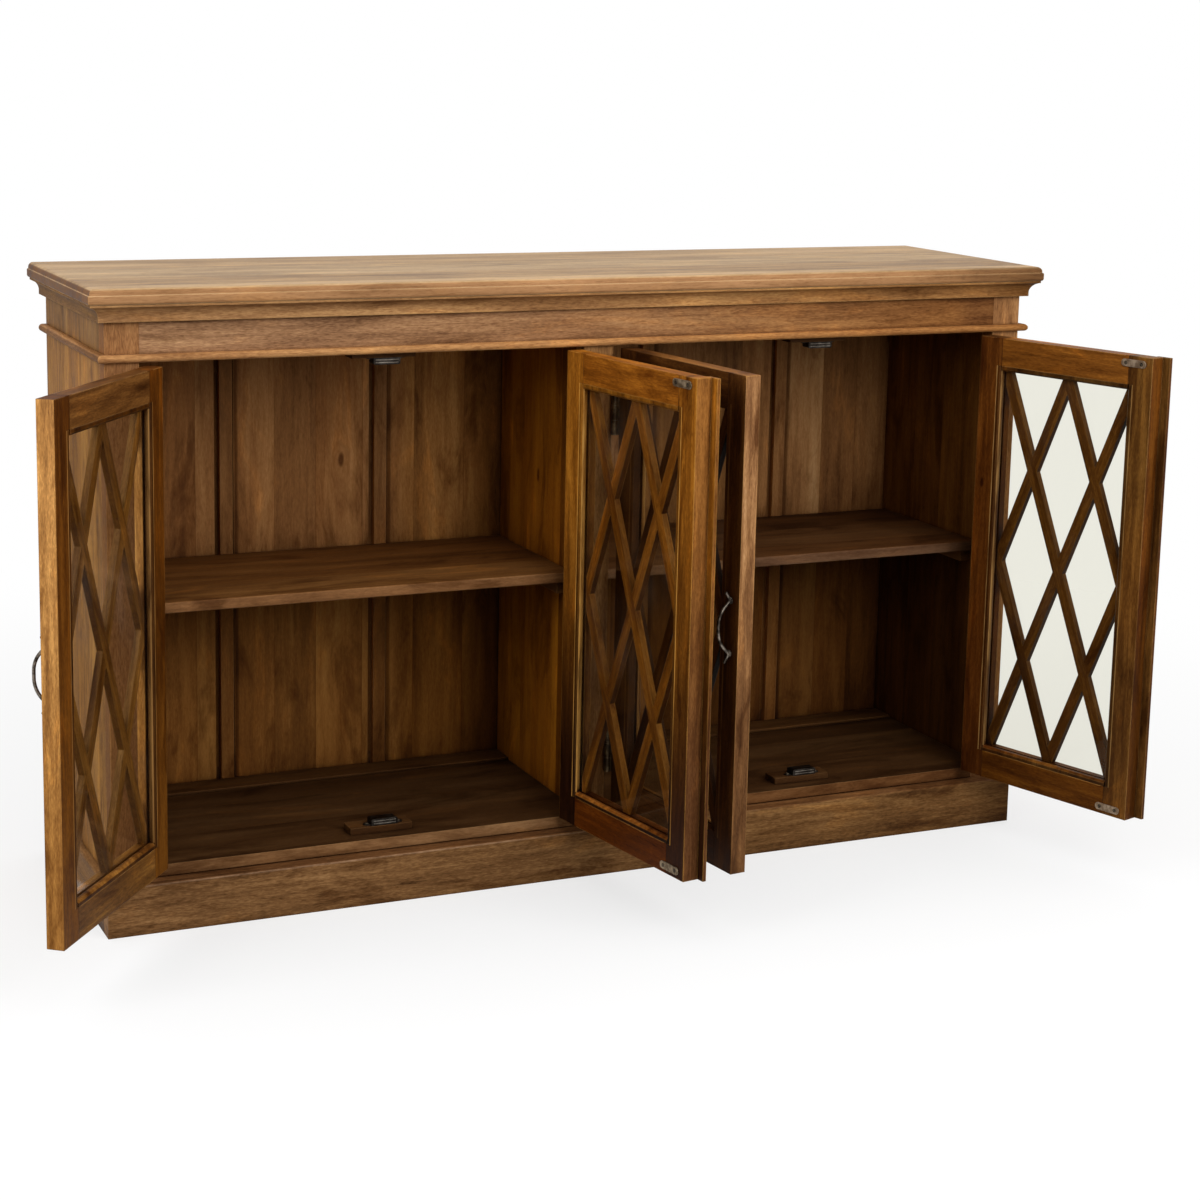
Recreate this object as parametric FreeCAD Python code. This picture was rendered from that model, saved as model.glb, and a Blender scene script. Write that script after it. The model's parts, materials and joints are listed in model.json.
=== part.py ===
import FreeCAD
import Part
import math
import os

from FreeCAD import Vector

# Low glazed cabinet with four lattice doors, in millimetres, +Z up, front towards -Y.
# The origin is on the floor, under the middle of the carcass.

# Overall size, over the top board
overall_width = 1500.0
overall_depth = 400.0
overall_height = 900.0

# Top board with its stepped, rounded edge
slab_thickness = 22.0
slab_overhang = 26.0
slab_rear_overhang = 4.0
slab_step_height = 9.0
slab_step_inset = 2.0
slab_top_round = 7.0
slab_edge_round = 4.0

# Cove moulding under the top board
bed_height = 24.5
bed_top_projection = 23.0
bed_top_land = 3.0
bed_foot_projection = 10.0
bed_foot_land = 5.0
bed_cove_sag = 4.0

# Frieze and the half-round bead at its foot
frieze_face_height = 44.0
frieze_thickness = 22.0
bead_height = 11.0
bead_projection = 11.3

# Uprights
post_width = 47.0
post_depth = 28.0
centre_stile_width = 46.0
side_thickness = 20.0
divider_thickness = 20.0

# Plinth and the boards under the bottom panel
plinth_height = 72.0
plinth_front_thickness = 24.0
plinth_return_thickness = 12.0
plinth_round = 3.0
bearer_thickness = 22.0
centre_bearer_width = 40.0

# Bottom panel with the battens along its rear, shelves and inner top stretcher
bottom_thickness = 18.0
board_round = 2.0
floor_batten_width = 48.0
floor_batten_thickness = 4.0
floor_batten_round = 1.5
shelf_top = 450.0
shelf_thickness = 16.0
shelf_setback = 60.0
cleat_width = 16.0
cleat_height = 20.0
cleat_end_margin = 16.0
stretcher_depth = 60.0
stretcher_thickness = 20.0

# Framed back
back_recess = 7.0
back_flange_thickness = 6.0
back_panel_thickness = 6.0
back_strip_raise = 6.0
back_lower_rail_drop = 30.0
back_upper_rail_height = 43.0
back_rail_lap = 20.0
muntin_inner_pitch = 230.0
muntin_outer_pitch = 247.5
muntin_shift = 16.5
muntin_width = 20.0
muntin_lap = 18.0
back_panel_gap = 7.0
back_panel_seam = 2.5

# Doors
door_thickness = 24.0
door_side_gap = 3.0
door_top_gap = 3.5
door_foot_gap = 3.0
door_stile_width = 42.5
door_top_rail = 51.0
door_foot_rail = 51.0
tenon_length = 20.0
tenon_thickness = 7.0
tenon_shoulder = 8.0
tenon_setback = 2.5
joint_clearance = 0.2

# Glass, its rebate and the strips that hold it in
rebate_width = 8.0
rebate_setback = 12.0
glass_thickness = 4.0
glass_edge_clearance = 1.0
glass_bead_chamfer = 3.0

# Diagonal lattice in front of the glass
lattice_bar_width = 17.0
lattice_setback = 2.5
lattice_glass_gap = 0.3

# Lip strip over the joint between the two doors of a bay
lip_thickness = 6.0
lip_seat = 12.0
lip_reach = 12.5
lip_relief = 0.6

# Wire bow handles
handle_height = 444.0
handle_foot_spacing = 75.0
handle_length = 97.4
handle_projection = 22.0
handle_wire_radius = 2.3
handle_tip_lift = 8.0
handle_grip_length = 40.0
handle_foot_bend = 6.0
handle_grip_bend = 36.0
handle_edge_margin = 19.5
handle_lip_margin = 9.0
rosette_radius = 5.0
rosette_thickness = 1.8
stud_radius = 2.0
stud_length = 13.0
stud_clearance = 0.05

# Butt hinges
hinge_height = 66.0
hinge_end_distance = 95.0
hinge_leaf_thickness = 1.2
hinge_leaf_depth = 22.0
hinge_axis_offset = 7.0
knuckle_radius = 5.0
knuckle_gap = 0.3
pin_radius = 2.0
pin_clearance = 0.05
pin_head_radius = 3.4
pin_head_height = 2.2

# Strike plates on the lipped doors, with the catches and stop blocks that meet them
strike_length = 44.0
strike_height = 11.0
strike_thickness = 1.5
strike_hole_radius = 1.6
strike_hole_spacing = 28.0
strike_edge_distance = 11.0
strike_free_edge_distance = 33.0
stop_length = 95.0
stop_depth = 32.0
stop_height = 10.0
stop_strike_gap = 1.0
stop_offset = 5.0
catch_length = 40.0
catch_depth = 20.0
catch_height = 10.0
catch_setback = 1.0
catch_round = 3.0

# Angles at which the doors stand open
door_1_open_angle = 128.0
door_2_open_angle = 98.6
door_3_open_angle = 83.3
door_4_open_angle = 106.7

# Main planes worked out from the sizes above
carcass_half_width = overall_width / 2 - slab_overhang
carcass_depth = overall_depth - slab_overhang - slab_rear_overhang
front_y = -carcass_depth / 2
rear_y = carcass_depth / 2
slab_z = overall_height - slab_thickness
inner_x = carcass_half_width - side_thickness
post_x = carcass_half_width - post_width
post_back_y = front_y + post_depth
floor_z = plinth_height + bottom_thickness
bed_z = slab_z - bed_height
bead_top_z = bed_z - frieze_face_height
head_z = bead_top_z - bead_height
divider_x = divider_thickness / 2
centre_stile_x = centre_stile_width / 2

back_outer_y = rear_y - back_recess
back_flange_y = back_outer_y - back_flange_thickness
back_panel_y = back_flange_y - back_panel_thickness
back_face_y = back_panel_y - back_strip_raise
back_upper_z = slab_z - back_upper_rail_height

bay_width = post_x - centre_stile_x
door_width = (bay_width - 3 * door_side_gap) / 2
door_foot_z = floor_z + door_foot_gap
door_top_z = head_z - door_top_gap
light_foot_z = door_foot_z + door_foot_rail
light_top_z = door_top_z - door_top_rail
hinge_y = front_y - hinge_axis_offset
hinge_heights = [door_foot_z + hinge_end_distance, door_top_z - hinge_end_distance]
knuckle_length = (hinge_height - 2 * knuckle_gap) / 3

# A door is built closed, hinged at its left, around its hinge axis: these are its main lines
door_left = door_side_gap / 2
door_right = door_left + door_width
door_face = hinge_axis_offset
door_back = door_face + door_thickness
light_left = door_left + door_stile_width
light_right = door_right - door_stile_width
rebate_face = door_face + rebate_setback


def block(x_range, y_range, z_range):
    corner = Vector(x_range[0], y_range[0], z_range[0])
    size_x = x_range[1] - x_range[0]
    size_y = y_range[1] - y_range[0]
    size_z = z_range[1] - z_range[0]
    return Part.makeBox(size_x, size_y, size_z, corner)


def rod(radius, z_range):
    return Part.makeCylinder(radius, z_range[1] - z_range[0], Vector(0, 0, z_range[0]))


def mirrored(shape):
    return shape.mirror(Vector(0, 0, 0), Vector(1, 0, 0))


def pair(shape):
    return [shape, mirrored(shape)]


def prism(points, direction):
    outline = Part.makePolygon(points + [points[0]])
    return Part.Face(outline).extrude(direction)


def rounded(shape, radius, is_wanted):
    edges = [edge for edge in shape.Edges if is_wanted(edge)]
    return shape.makeFillet(radius, edges)


def lies_along(edge, axis_index, value):
    """True for a straight edge whose two ends share this coordinate."""
    ends = [vertex.Point[axis_index] for vertex in edge.Vertexes]
    return max(abs(end - value) for end in ends) < 1e-6


# Top board

def slab_layer(inset, z_range, top_round, foot_round):
    half_width = overall_width / 2 - inset
    layer_front = front_y - slab_overhang + inset
    layer_rear = rear_y + slab_rear_overhang
    layer = block((-half_width, half_width), (layer_front, layer_rear), z_range)

    def shows_at(z):
        return lambda edge: lies_along(edge, 2, z) and not lies_along(edge, 1, layer_rear)

    layer = rounded(layer, top_round, shows_at(z_range[1]))
    if foot_round:
        layer = rounded(layer, foot_round, shows_at(z_range[0]))
    return layer


def top_slab():
    step_z = overall_height - slab_step_height
    lower = slab_layer(0, (slab_z, step_z), slab_step_inset, slab_edge_round)
    upper = slab_layer(slab_step_inset, (step_z, overall_height), slab_top_round, 0)
    return lower.fuse(upper).removeSplitter()


# Mitred mouldings round the front and both ends

def mitred_lengths(profile_edges, reach):
    """A profile drawn in (projection, height), run along the front and both ends."""
    wire = Part.Wire(profile_edges)
    long_run = overall_width + overall_depth
    section = Part.Face(wire).extrude(Vector(0, 0, long_run))

    front = section.copy()
    front.Placement = FreeCAD.Placement(
        FreeCAD.Matrix(0, 0, -1, long_run / 2, -1, 0, 0, front_y, 0, 1, 0, 0, 0, 0, 0, 1))
    end = section.copy()
    end.Placement = FreeCAD.Placement(
        FreeCAD.Matrix(1, 0, 0, carcass_half_width, 0, 0, -1, long_run / 2, 0, 1, 0, 0, 0, 0, 0, 1))

    up = Vector(0, 0, overall_height)
    inner_corner = Vector(carcass_half_width, front_y, 0)
    outer_corner = inner_corner + Vector(reach, -reach, 0)
    front_region = prism([
        Vector(-inner_corner.x, front_y, 0), inner_corner, outer_corner,
        Vector(-outer_corner.x, outer_corner.y, 0)], up)
    end_region = prism([
        inner_corner, outer_corner, Vector(outer_corner.x, rear_y, 0),
        Vector(inner_corner.x, rear_y, 0)], up)
    return Part.makeCompound([front.common(front_region)] + pair(end.common(end_region)))


def line(start, finish):
    return Part.LineSegment(Vector(*start), Vector(*finish)).toShape()


def arc(start, middle, finish):
    return Part.Arc(Vector(*start), Vector(*middle), Vector(*finish)).toShape()


def bed_moulding():
    foot = (bed_foot_projection, bed_z + bed_foot_land, 0)
    crown = (bed_top_projection, slab_z - bed_top_land, 0)
    chord_x = crown[0] - foot[0]
    chord_z = crown[1] - foot[1]
    chord = math.hypot(chord_x, chord_z)
    hollow = (
        (foot[0] + crown[0]) / 2 - bed_cove_sag * chord_z / chord,
        (foot[1] + crown[1]) / 2 + bed_cove_sag * chord_x / chord, 0)
    edges = [
        line((0, bed_z, 0), (bed_foot_projection, bed_z, 0)),
        line((bed_foot_projection, bed_z, 0), foot),
        arc(foot, hollow, crown),
        line(crown, (bed_top_projection, slab_z, 0)),
        line((bed_top_projection, slab_z, 0), (0, slab_z, 0)),
        line((0, slab_z, 0), (0, bed_z, 0)),
    ]
    return mitred_lengths(edges, 2 * bed_top_projection)


def bead_moulding():
    radius = bead_height / 2
    flat = bead_projection - radius
    edges = [
        line((0, head_z, 0), (flat, head_z, 0)),
        arc((flat, head_z, 0), (bead_projection, head_z + radius, 0), (flat, bead_top_z, 0)),
        line((flat, bead_top_z, 0), (0, bead_top_z, 0)),
        line((0, bead_top_z, 0), (0, head_z, 0)),
    ]
    return mitred_lengths(edges, 2 * bead_projection)


# Carcass boards

def frieze_board():
    return block((-post_x, post_x), (front_y, front_y + frieze_thickness), (head_z, slab_z))


def right_post():
    return block((post_x, carcass_half_width), (front_y, post_back_y), (0, slab_z))


def right_side_panel():
    return block((inner_x, carcass_half_width), (post_back_y, rear_y), (0, slab_z))


def centre_stile():
    return block((-centre_stile_x, centre_stile_x), (front_y, post_back_y), (floor_z, head_z))


def stretcher_block():
    y_range = (post_back_y, post_back_y + stretcher_depth)
    return block((-inner_x, inner_x), y_range, (head_z, head_z + stretcher_thickness))


def divider_panel():
    panel = block((-divider_x, divider_x), (post_back_y, back_face_y), (floor_z, slab_z))
    return panel.cut(stretcher_block())


def bottom_panel():
    panel = block((-inner_x, inner_x), (front_y, back_face_y), (plinth_height, floor_z))
    for post in pair(right_post()):
        panel = panel.cut(post)
    return rounded(
        panel, board_round,
        lambda edge: lies_along(edge, 1, front_y) and lies_along(edge, 2, plinth_height))


def floor_battens():
    y_range = (back_face_y - floor_batten_width, back_face_y)
    top = floor_z + floor_batten_thickness
    batten = block((divider_x, inner_x), y_range, (floor_z, top))
    batten = rounded(
        batten, floor_batten_round,
        lambda edge: lies_along(edge, 1, y_range[0]) and lies_along(edge, 2, top))
    return Part.makeCompound(pair(batten))


def left_shelf():
    y_range = (front_y + shelf_setback, back_face_y)
    shelf = block((-inner_x, -divider_x), y_range, (shelf_top - shelf_thickness, shelf_top))
    return rounded(
        shelf, board_round,
        lambda edge: lies_along(edge, 1, y_range[0]) and not lies_along(edge, 0, -inner_x)
        and not lies_along(edge, 0, -divider_x))


def shelf_cleats():
    top = shelf_top - shelf_thickness
    y_range = (front_y + shelf_setback + cleat_end_margin, back_face_y - cleat_end_margin)
    z_range = (top - cleat_height, top)
    outer = block((inner_x - cleat_width, inner_x), y_range, z_range)
    inner = block((divider_x, divider_x + cleat_width), y_range, z_range)
    return Part.makeCompound(pair(outer) + pair(inner))


# Framed back: rails and muntins with wide rear flanges, thin panels in front of the flanges

def back_rails():
    lower_foot = floor_z - back_lower_rail_drop
    width = (-inner_x, inner_x)
    strip_y = (back_face_y, back_flange_y)
    flange_y = (back_flange_y, back_outer_y)
    lower = block(width, strip_y, (lower_foot, floor_z))
    lower_flange = block(width, flange_y, (lower_foot, floor_z + back_rail_lap))
    upper = block(width, strip_y, (back_upper_z, slab_z))
    upper_flange = block(width, flange_y, (back_upper_z - back_rail_lap, slab_z))
    return Part.makeCompound([
        lower.fuse(lower_flange).removeSplitter(),
        upper.fuse(upper_flange).removeSplitter()])


def muntin_centres():
    outer = muntin_inner_pitch + muntin_outer_pitch
    offsets = (-outer, -muntin_inner_pitch, 0.0, muntin_inner_pitch, outer)
    return [muntin_shift + offset for offset in offsets]


def back_muntins():
    muntins = []
    half_strip = muntin_width / 2
    half_flange = half_strip + muntin_lap
    for centre in muntin_centres():
        strip = block(
            (centre - half_strip, centre + half_strip),
            (back_face_y, back_flange_y), (floor_z, back_upper_z))
        flange = block(
            (centre - half_flange, centre + half_flange), (back_flange_y, back_outer_y),
            (floor_z + back_rail_lap, back_upper_z - back_rail_lap))
        muntins.append(strip.fuse(flange).removeSplitter())
    return Part.makeCompound(muntins)


def back_panels():
    half_strip = muntin_width / 2
    starts = [-inner_x] + [centre + half_strip + back_panel_seam for centre in muntin_centres()]
    ends = [centre - half_strip - back_panel_gap for centre in muntin_centres()] + [inner_x]
    panels = []
    for start, end in zip(starts, ends):
        panels.append(block(
            (start, end), (back_panel_y, back_flange_y), (floor_z, back_upper_z)))
    return Part.makeCompound(panels)


# Plinth and bearers

def plinth_front():
    half_width = carcass_half_width + plinth_return_thickness
    outer_y = front_y - plinth_front_thickness
    board = block((-half_width, half_width), (outer_y, front_y), (0, plinth_height))
    return rounded(
        board, plinth_round,
        lambda edge: lies_along(edge, 1, outer_y) and lies_along(edge, 2, plinth_height))


def plinth_returns():
    outer_x = carcass_half_width + plinth_return_thickness
    board = block((carcass_half_width, outer_x), (front_y, rear_y), (0, plinth_height))
    board = rounded(
        board, plinth_round,
        lambda edge: lies_along(edge, 0, outer_x) and lies_along(edge, 2, plinth_height))
    return Part.makeCompound(pair(board))


def front_bearer():
    return block((-post_x, post_x), (front_y, front_y + bearer_thickness), (0, plinth_height))


def rear_bearer():
    y_range = (back_face_y - bearer_thickness, back_face_y)
    return block((-inner_x, inner_x), y_range, (0, plinth_height))


def centre_bearer():
    half = centre_bearer_width / 2
    y_range = (front_y + bearer_thickness, back_face_y - bearer_thickness)
    return block((-half, half), y_range, (0, plinth_height))


# Door stops and catches, one of each above and below every lipped door

def strike_offset():
    """Distance from a lipped door's hinge axis to the middle of its strike plates."""
    return door_right - strike_free_edge_distance


def lipped_door_axes():
    return [-centre_stile_x - door_side_gap / 2, post_x - door_side_gap / 2]


def stop_front_y():
    return front_y + door_thickness + strike_thickness + stop_strike_gap


def stop_blocks():
    blocks = []
    y_range = (stop_front_y(), stop_front_y() + stop_depth)
    for axis_x in lipped_door_axes():
        middle = axis_x - strike_offset() - stop_offset
        x_range = (middle - stop_length / 2, middle + stop_length / 2)
        blocks.append(block(x_range, y_range, (floor_z, floor_z + stop_height)))
        blocks.append(block(x_range, y_range, (head_z - stop_height, head_z)))
    return Part.makeCompound(blocks)


def catch_case(middle, z_range, free_z):
    y_front = stop_front_y() + catch_setback
    x_range = (middle - catch_length / 2, middle + catch_length / 2)
    case = block(x_range, (y_front, y_front + catch_depth), z_range)
    return rounded(
        case, catch_round,
        lambda edge: lies_along(edge, 2, free_z) and not lies_along(edge, 1, y_front))


def catches():
    cases = []
    lower = (floor_z + stop_height, floor_z + stop_height + catch_height)
    upper = (head_z - stop_height - catch_height, head_z - stop_height)
    for axis_x in lipped_door_axes():
        middle = axis_x - strike_offset()
        cases.append(catch_case(middle, lower, lower[1]))
        cases.append(catch_case(middle, upper, upper[0]))
    return Part.makeCompound(cases)


# Butt hinges, around a vertical axis at the origin

def knuckle_range(hinge_z, index):
    start = hinge_z - hinge_height / 2 + index * (knuckle_length + knuckle_gap)
    return (start, start + knuckle_length)


def hinge_leaf(hinge_z, x_range, own_knuckles, other_knuckles):
    z_range = (hinge_z - hinge_height / 2, hinge_z + hinge_height / 2)
    leaf = block(x_range, (0, hinge_axis_offset + hinge_leaf_depth), z_range)
    for index in other_knuckles:
        start, end = knuckle_range(hinge_z, index)
        sweep = rod(knuckle_radius + knuckle_gap, (start - knuckle_gap, end + knuckle_gap))
        leaf = leaf.cut(sweep)
    for index in own_knuckles:
        leaf = leaf.fuse(rod(knuckle_radius, knuckle_range(hinge_z, index)))
    return leaf.cut(rod(pin_radius + pin_clearance, z_range)).removeSplitter()


def fixed_leaves():
    x_range = (-door_left, hinge_leaf_thickness - door_left)
    return [hinge_leaf(hinge_z, x_range, (0, 2), (1,)) for hinge_z in hinge_heights]


def moving_leaves():
    x_range = (door_left - hinge_leaf_thickness, door_left)
    return [hinge_leaf(hinge_z, x_range, (1,), (0, 2)) for hinge_z in hinge_heights]


def pins():
    shapes = []
    for hinge_z in hinge_heights:
        foot = hinge_z - hinge_height / 2
        top = hinge_z + hinge_height / 2
        shank = rod(pin_radius, (foot, top))
        head = rod(pin_head_radius, (top, top + pin_head_height))
        shapes.append(shank.fuse(head).removeSplitter())
    return shapes


# Door pieces, closed and hinged at the left around the same axis

def door_rail(z_range, rebate_z):
    rail = block((light_left, light_right), (door_face, door_back), z_range)
    rail = rail.cut(block((light_left, light_right), (rebate_face, door_back), rebate_z))
    tenon_y = (door_face + tenon_setback, door_face + tenon_setback + tenon_thickness)
    tenon_z = (z_range[0] + tenon_shoulder, z_range[1] - tenon_shoulder)
    tenons = block((light_left - tenon_length, light_right + tenon_length), tenon_y, tenon_z)
    return rail.fuse(tenons).removeSplitter()


def door_rails():
    return [
        door_rail((door_foot_z, light_foot_z), (light_foot_z - rebate_width, light_foot_z)),
        door_rail((light_top_z, door_top_z), (light_top_z, light_top_z + rebate_width))]


def mortise(x_range, rail_z):
    y_range = (
        door_face + tenon_setback - joint_clearance,
        door_face + tenon_setback + tenon_thickness + joint_clearance)
    z_range = (
        rail_z[0] + tenon_shoulder - joint_clearance,
        rail_z[1] - tenon_shoulder + joint_clearance)
    return block(x_range, y_range, z_range)


def handle_feet():
    half = handle_foot_spacing / 2
    return [handle_height - half, handle_height + half]


def stud(radius, x, z, length):
    return Part.makeCylinder(radius, length, Vector(x, door_face, z), Vector(0, 1, 0))


def door_stiles(handle_x):
    rebate_z = (light_foot_z - rebate_width, light_top_z + rebate_width)
    rebate_y = (rebate_face, door_back)
    rail_ranges = [(door_foot_z, light_foot_z), (light_top_z, door_top_z)]
    depth = tenon_length + joint_clearance

    hinge_stile = block((door_left, light_left), (door_face, door_back), (door_foot_z, door_top_z))
    hinge_stile = hinge_stile.cut(block((light_left - rebate_width, light_left), rebate_y, rebate_z))
    free_stile = block((light_right, door_right), (door_face, door_back), (door_foot_z, door_top_z))
    free_stile = free_stile.cut(block((light_right, light_right + rebate_width), rebate_y, rebate_z))
    for rail_z in rail_ranges:
        hinge_stile = hinge_stile.cut(mortise((light_left - depth, light_left), rail_z))
        free_stile = free_stile.cut(mortise((light_right, light_right + depth), rail_z))
    for foot_z in handle_feet():
        hole = stud(stud_radius + stud_clearance, handle_x, foot_z, stud_length + joint_clearance)
        free_stile = free_stile.cut(hole)
    return [hinge_stile, free_stile]


def lattice_bar(start, finish, y_range):
    """A flat bar whose centre line runs between two points given in (x, z)."""
    run = Vector(finish[0] - start[0], 0, finish[1] - start[1])
    direction = Vector(run)
    direction.normalize()
    across = Vector(-direction.z, 0, direction.x) * (lattice_bar_width / 2)
    overrun = direction * (2 * lattice_bar_width)
    near = Vector(start[0], y_range[0], start[1]) - overrun
    far = Vector(finish[0], y_range[0], finish[1]) + overrun
    corners = [near - across, far - across, far + across, near + across]
    return prism(corners, Vector(0, y_range[1] - y_range[0], 0))


def door_lattice():
    y_range = (door_face + lattice_setback, rebate_face - lattice_glass_gap)
    middle_x = (light_left + light_right) / 2
    middle_z = (light_foot_z + light_top_z) / 2
    runs = [
        ((light_left, light_foot_z), (light_right, light_top_z)),
        ((light_left, light_top_z), (light_right, light_foot_z)),
        ((light_left, middle_z), (middle_x, light_foot_z)),
        ((middle_x, light_foot_z), (light_right, middle_z)),
        ((light_right, middle_z), (middle_x, light_top_z)),
        ((middle_x, light_top_z), (light_left, middle_z)),
    ]
    bars = [lattice_bar(start, finish, y_range) for start, finish in runs]
    lattice = bars[0].multiFuse(bars[1:])
    window = block((light_left, light_right), y_range, (light_foot_z, light_top_z))
    return lattice.common(window).removeSplitter()


def door_glass():
    margin = rebate_width - glass_edge_clearance
    return block(
        (light_left - margin, light_right + margin),
        (rebate_face, rebate_face + glass_thickness),
        (light_foot_z - margin, light_top_z + margin))


def glazing_bead(x_range, z_range, is_inner_edge):
    y_range = (rebate_face + glass_thickness, door_back)
    strip = block(x_range, y_range, z_range)
    edges = [edge for edge in strip.Edges if lies_along(edge, 1, door_back) and is_inner_edge(edge)]
    return strip.makeChamfer(glass_bead_chamfer, edges)


def glazing_beads():
    tall = (light_foot_z - rebate_width, light_top_z + rebate_width)
    wide = (light_left, light_right)
    return [
        glazing_bead((light_left - rebate_width, light_left), tall,
                     lambda edge: lies_along(edge, 0, light_left)),
        glazing_bead((light_right, light_right + rebate_width), tall,
                     lambda edge: lies_along(edge, 0, light_right)),
        glazing_bead(wide, (light_foot_z - rebate_width, light_foot_z),
                     lambda edge: lies_along(edge, 2, light_foot_z)),
        glazing_bead(wide, (light_top_z, light_top_z + rebate_width),
                     lambda edge: lies_along(edge, 2, light_top_z))]


def bent_path(points, radii):
    """Straight runs through the points, with a tangent arc at each inner point."""
    edges = []
    start = points[0]
    for before, corner, after, radius in zip(points, points[1:], points[2:], radii):
        towards = (before - corner).normalize()
        away = (after - corner).normalize()
        half_angle = towards.getAngle(away) / 2
        setback = radius / math.tan(half_angle)
        bisector = (towards + away).normalize()
        arc_start = corner + towards * setback
        arc_end = corner + away * setback
        arc_middle = corner + bisector * (radius / math.sin(half_angle) - radius)
        edges.append(Part.LineSegment(start, arc_start).toShape())
        edges.append(Part.Arc(arc_start, arc_middle, arc_end).toShape())
        start = arc_end
    edges.append(Part.LineSegment(start, points[-1]).toShape())
    return Part.Wire(edges)


def door_handle(x):
    half_length = handle_length / 2
    half_feet = handle_foot_spacing / 2
    half_grip = handle_grip_length / 2
    grip_lift = handle_projection - handle_wire_radius
    foot_lift = rosette_thickness - handle_wire_radius / 3
    profile = [
        (handle_tip_lift, half_length), (foot_lift, half_feet), (grip_lift, half_grip),
        (grip_lift, -half_grip), (foot_lift, -half_feet), (handle_tip_lift, -half_length)]
    points = [Vector(x, door_face - lift, handle_height + rise) for lift, rise in profile]
    bends = [handle_foot_bend, handle_grip_bend, handle_grip_bend, handle_foot_bend]
    path = bent_path(points, bends)

    circle = Part.makeCircle(handle_wire_radius, points[0], points[1] - points[0])
    handle = path.makePipeShell([Part.Wire(circle)], True, False)
    tips = [Part.makeSphere(handle_wire_radius, point) for point in (points[0], points[-1])]
    feet = []
    for foot_z in handle_feet():
        seat = Vector(x, door_face, foot_z)
        feet.append(Part.makeCylinder(rosette_radius, rosette_thickness, seat, Vector(0, -1, 0)))
        feet.append(stud(stud_radius, x, foot_z, stud_length))
    return handle.multiFuse(tips + feet).removeSplitter()


def door_lip():
    seat = block(
        (door_right - lip_seat, door_right), (door_face - lip_thickness, door_face),
        (door_foot_z, door_top_z))
    overhang = block(
        (door_right, door_right + lip_reach),
        (door_face - lip_thickness, door_face - lip_relief), (door_foot_z, door_top_z))
    return seat.fuse(overhang).removeSplitter()


def strike_plates():
    plates = []
    radius = strike_height / 2
    half_flat = strike_length / 2 - radius
    inward = Vector(0, strike_thickness, 0)
    for z in (door_foot_z + strike_edge_distance, door_top_z - strike_edge_distance):
        centre = Vector(strike_offset(), door_back, z)
        plate = block(
            (centre.x - half_flat, centre.x + half_flat),
            (door_back, door_back + strike_thickness), (z - radius, z + radius))
        for side in (-1, 1):
            end = centre + Vector(side * half_flat, 0, 0)
            plate = plate.fuse(Part.makeCylinder(radius, strike_thickness, end, inward))
        for side in (-1, 1):
            hole = centre + Vector(side * strike_hole_spacing / 2, 0, 0)
            plate = plate.cut(Part.makeCylinder(strike_hole_radius, strike_thickness, hole, inward))
        plates.append(plate.removeSplitter())
    return plates


def closed_door(has_lip):
    handle_x = door_right - handle_edge_margin
    if has_lip:
        handle_x = door_right - lip_seat - handle_lip_margin - rosette_radius
    pieces = {
        "stiles": Part.makeCompound(door_stiles(handle_x)),
        "rails": Part.makeCompound(door_rails()),
        "lattice": door_lattice(),
        "glass": door_glass(),
        "glazing_beads": Part.makeCompound(glazing_beads()),
        "handle": door_handle(handle_x),
        "hinge_leaves": Part.makeCompound(moving_leaves()),
    }
    if has_lip:
        pieces["lip"] = door_lip()
        pieces["strike_plates"] = Part.makeCompound(strike_plates())
    return pieces


def hung(shape, axis_x, is_right_hung, open_angle):
    """Move a closed, left-hinged shape to its hinge axis and swing it open."""
    placed = mirrored(shape) if is_right_hung else shape.copy()
    turn = open_angle if is_right_hung else -open_angle
    placed.rotate(Vector(0, 0, 0), Vector(0, 0, 1), turn)
    placed.translate(Vector(axis_x, hinge_y, 0))
    return placed


left_axis = door_side_gap / 2
doors = [
    ("door_1", -post_x + left_axis, False, door_1_open_angle),
    ("door_2", -centre_stile_x - left_axis, True, door_2_open_angle),
    ("door_3", centre_stile_x + left_axis, False, door_3_open_angle),
    ("door_4", post_x - left_axis, True, door_4_open_angle),
]

parts = {
    "top_slab": top_slab(),
    "bed_moulding": bed_moulding(),
    "frieze_board": frieze_board(),
    "bead_moulding": bead_moulding(),
    "left_post": mirrored(right_post()),
    "right_post": right_post(),
    "left_side_panel": mirrored(right_side_panel()),
    "right_side_panel": right_side_panel(),
    "centre_stile": centre_stile(),
    "divider_panel": divider_panel(),
    "top_stretcher": stretcher_block(),
    "back_rails": back_rails(),
    "back_muntins": back_muntins(),
    "back_panels": back_panels(),
    "bottom_panel": bottom_panel(),
    "floor_battens": floor_battens(),
    "left_shelf": left_shelf(),
    "right_shelf": mirrored(left_shelf()),
    "shelf_cleats": shelf_cleats(),
    "plinth_front": plinth_front(),
    "plinth_returns": plinth_returns(),
    "front_bearer": front_bearer(),
    "centre_bearer": centre_bearer(),
    "rear_bearer": rear_bearer(),
    "stop_blocks": stop_blocks(),
    "catches": catches(),
}

hinge_shapes = {"hinge_leaves": [], "hinge_pins": []}
for door_name, axis_x, is_right_hung, open_angle in doors:
    for piece, shape in closed_door(is_right_hung).items():
        parts[door_name + "_" + piece] = hung(shape, axis_x, is_right_hung, open_angle)
    for shape in fixed_leaves():
        hinge_shapes["hinge_leaves"].append(hung(shape, axis_x, is_right_hung, 0))
    for shape in pins():
        hinge_shapes["hinge_pins"].append(hung(shape, axis_x, is_right_hung, 0))
for name, shapes in hinge_shapes.items():
    parts[name] = Part.makeCompound(shapes)

os.makedirs("parts", exist_ok=True)
for name, shape in parts.items():
    shape.exportStep("parts/" + name + ".step")
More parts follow.
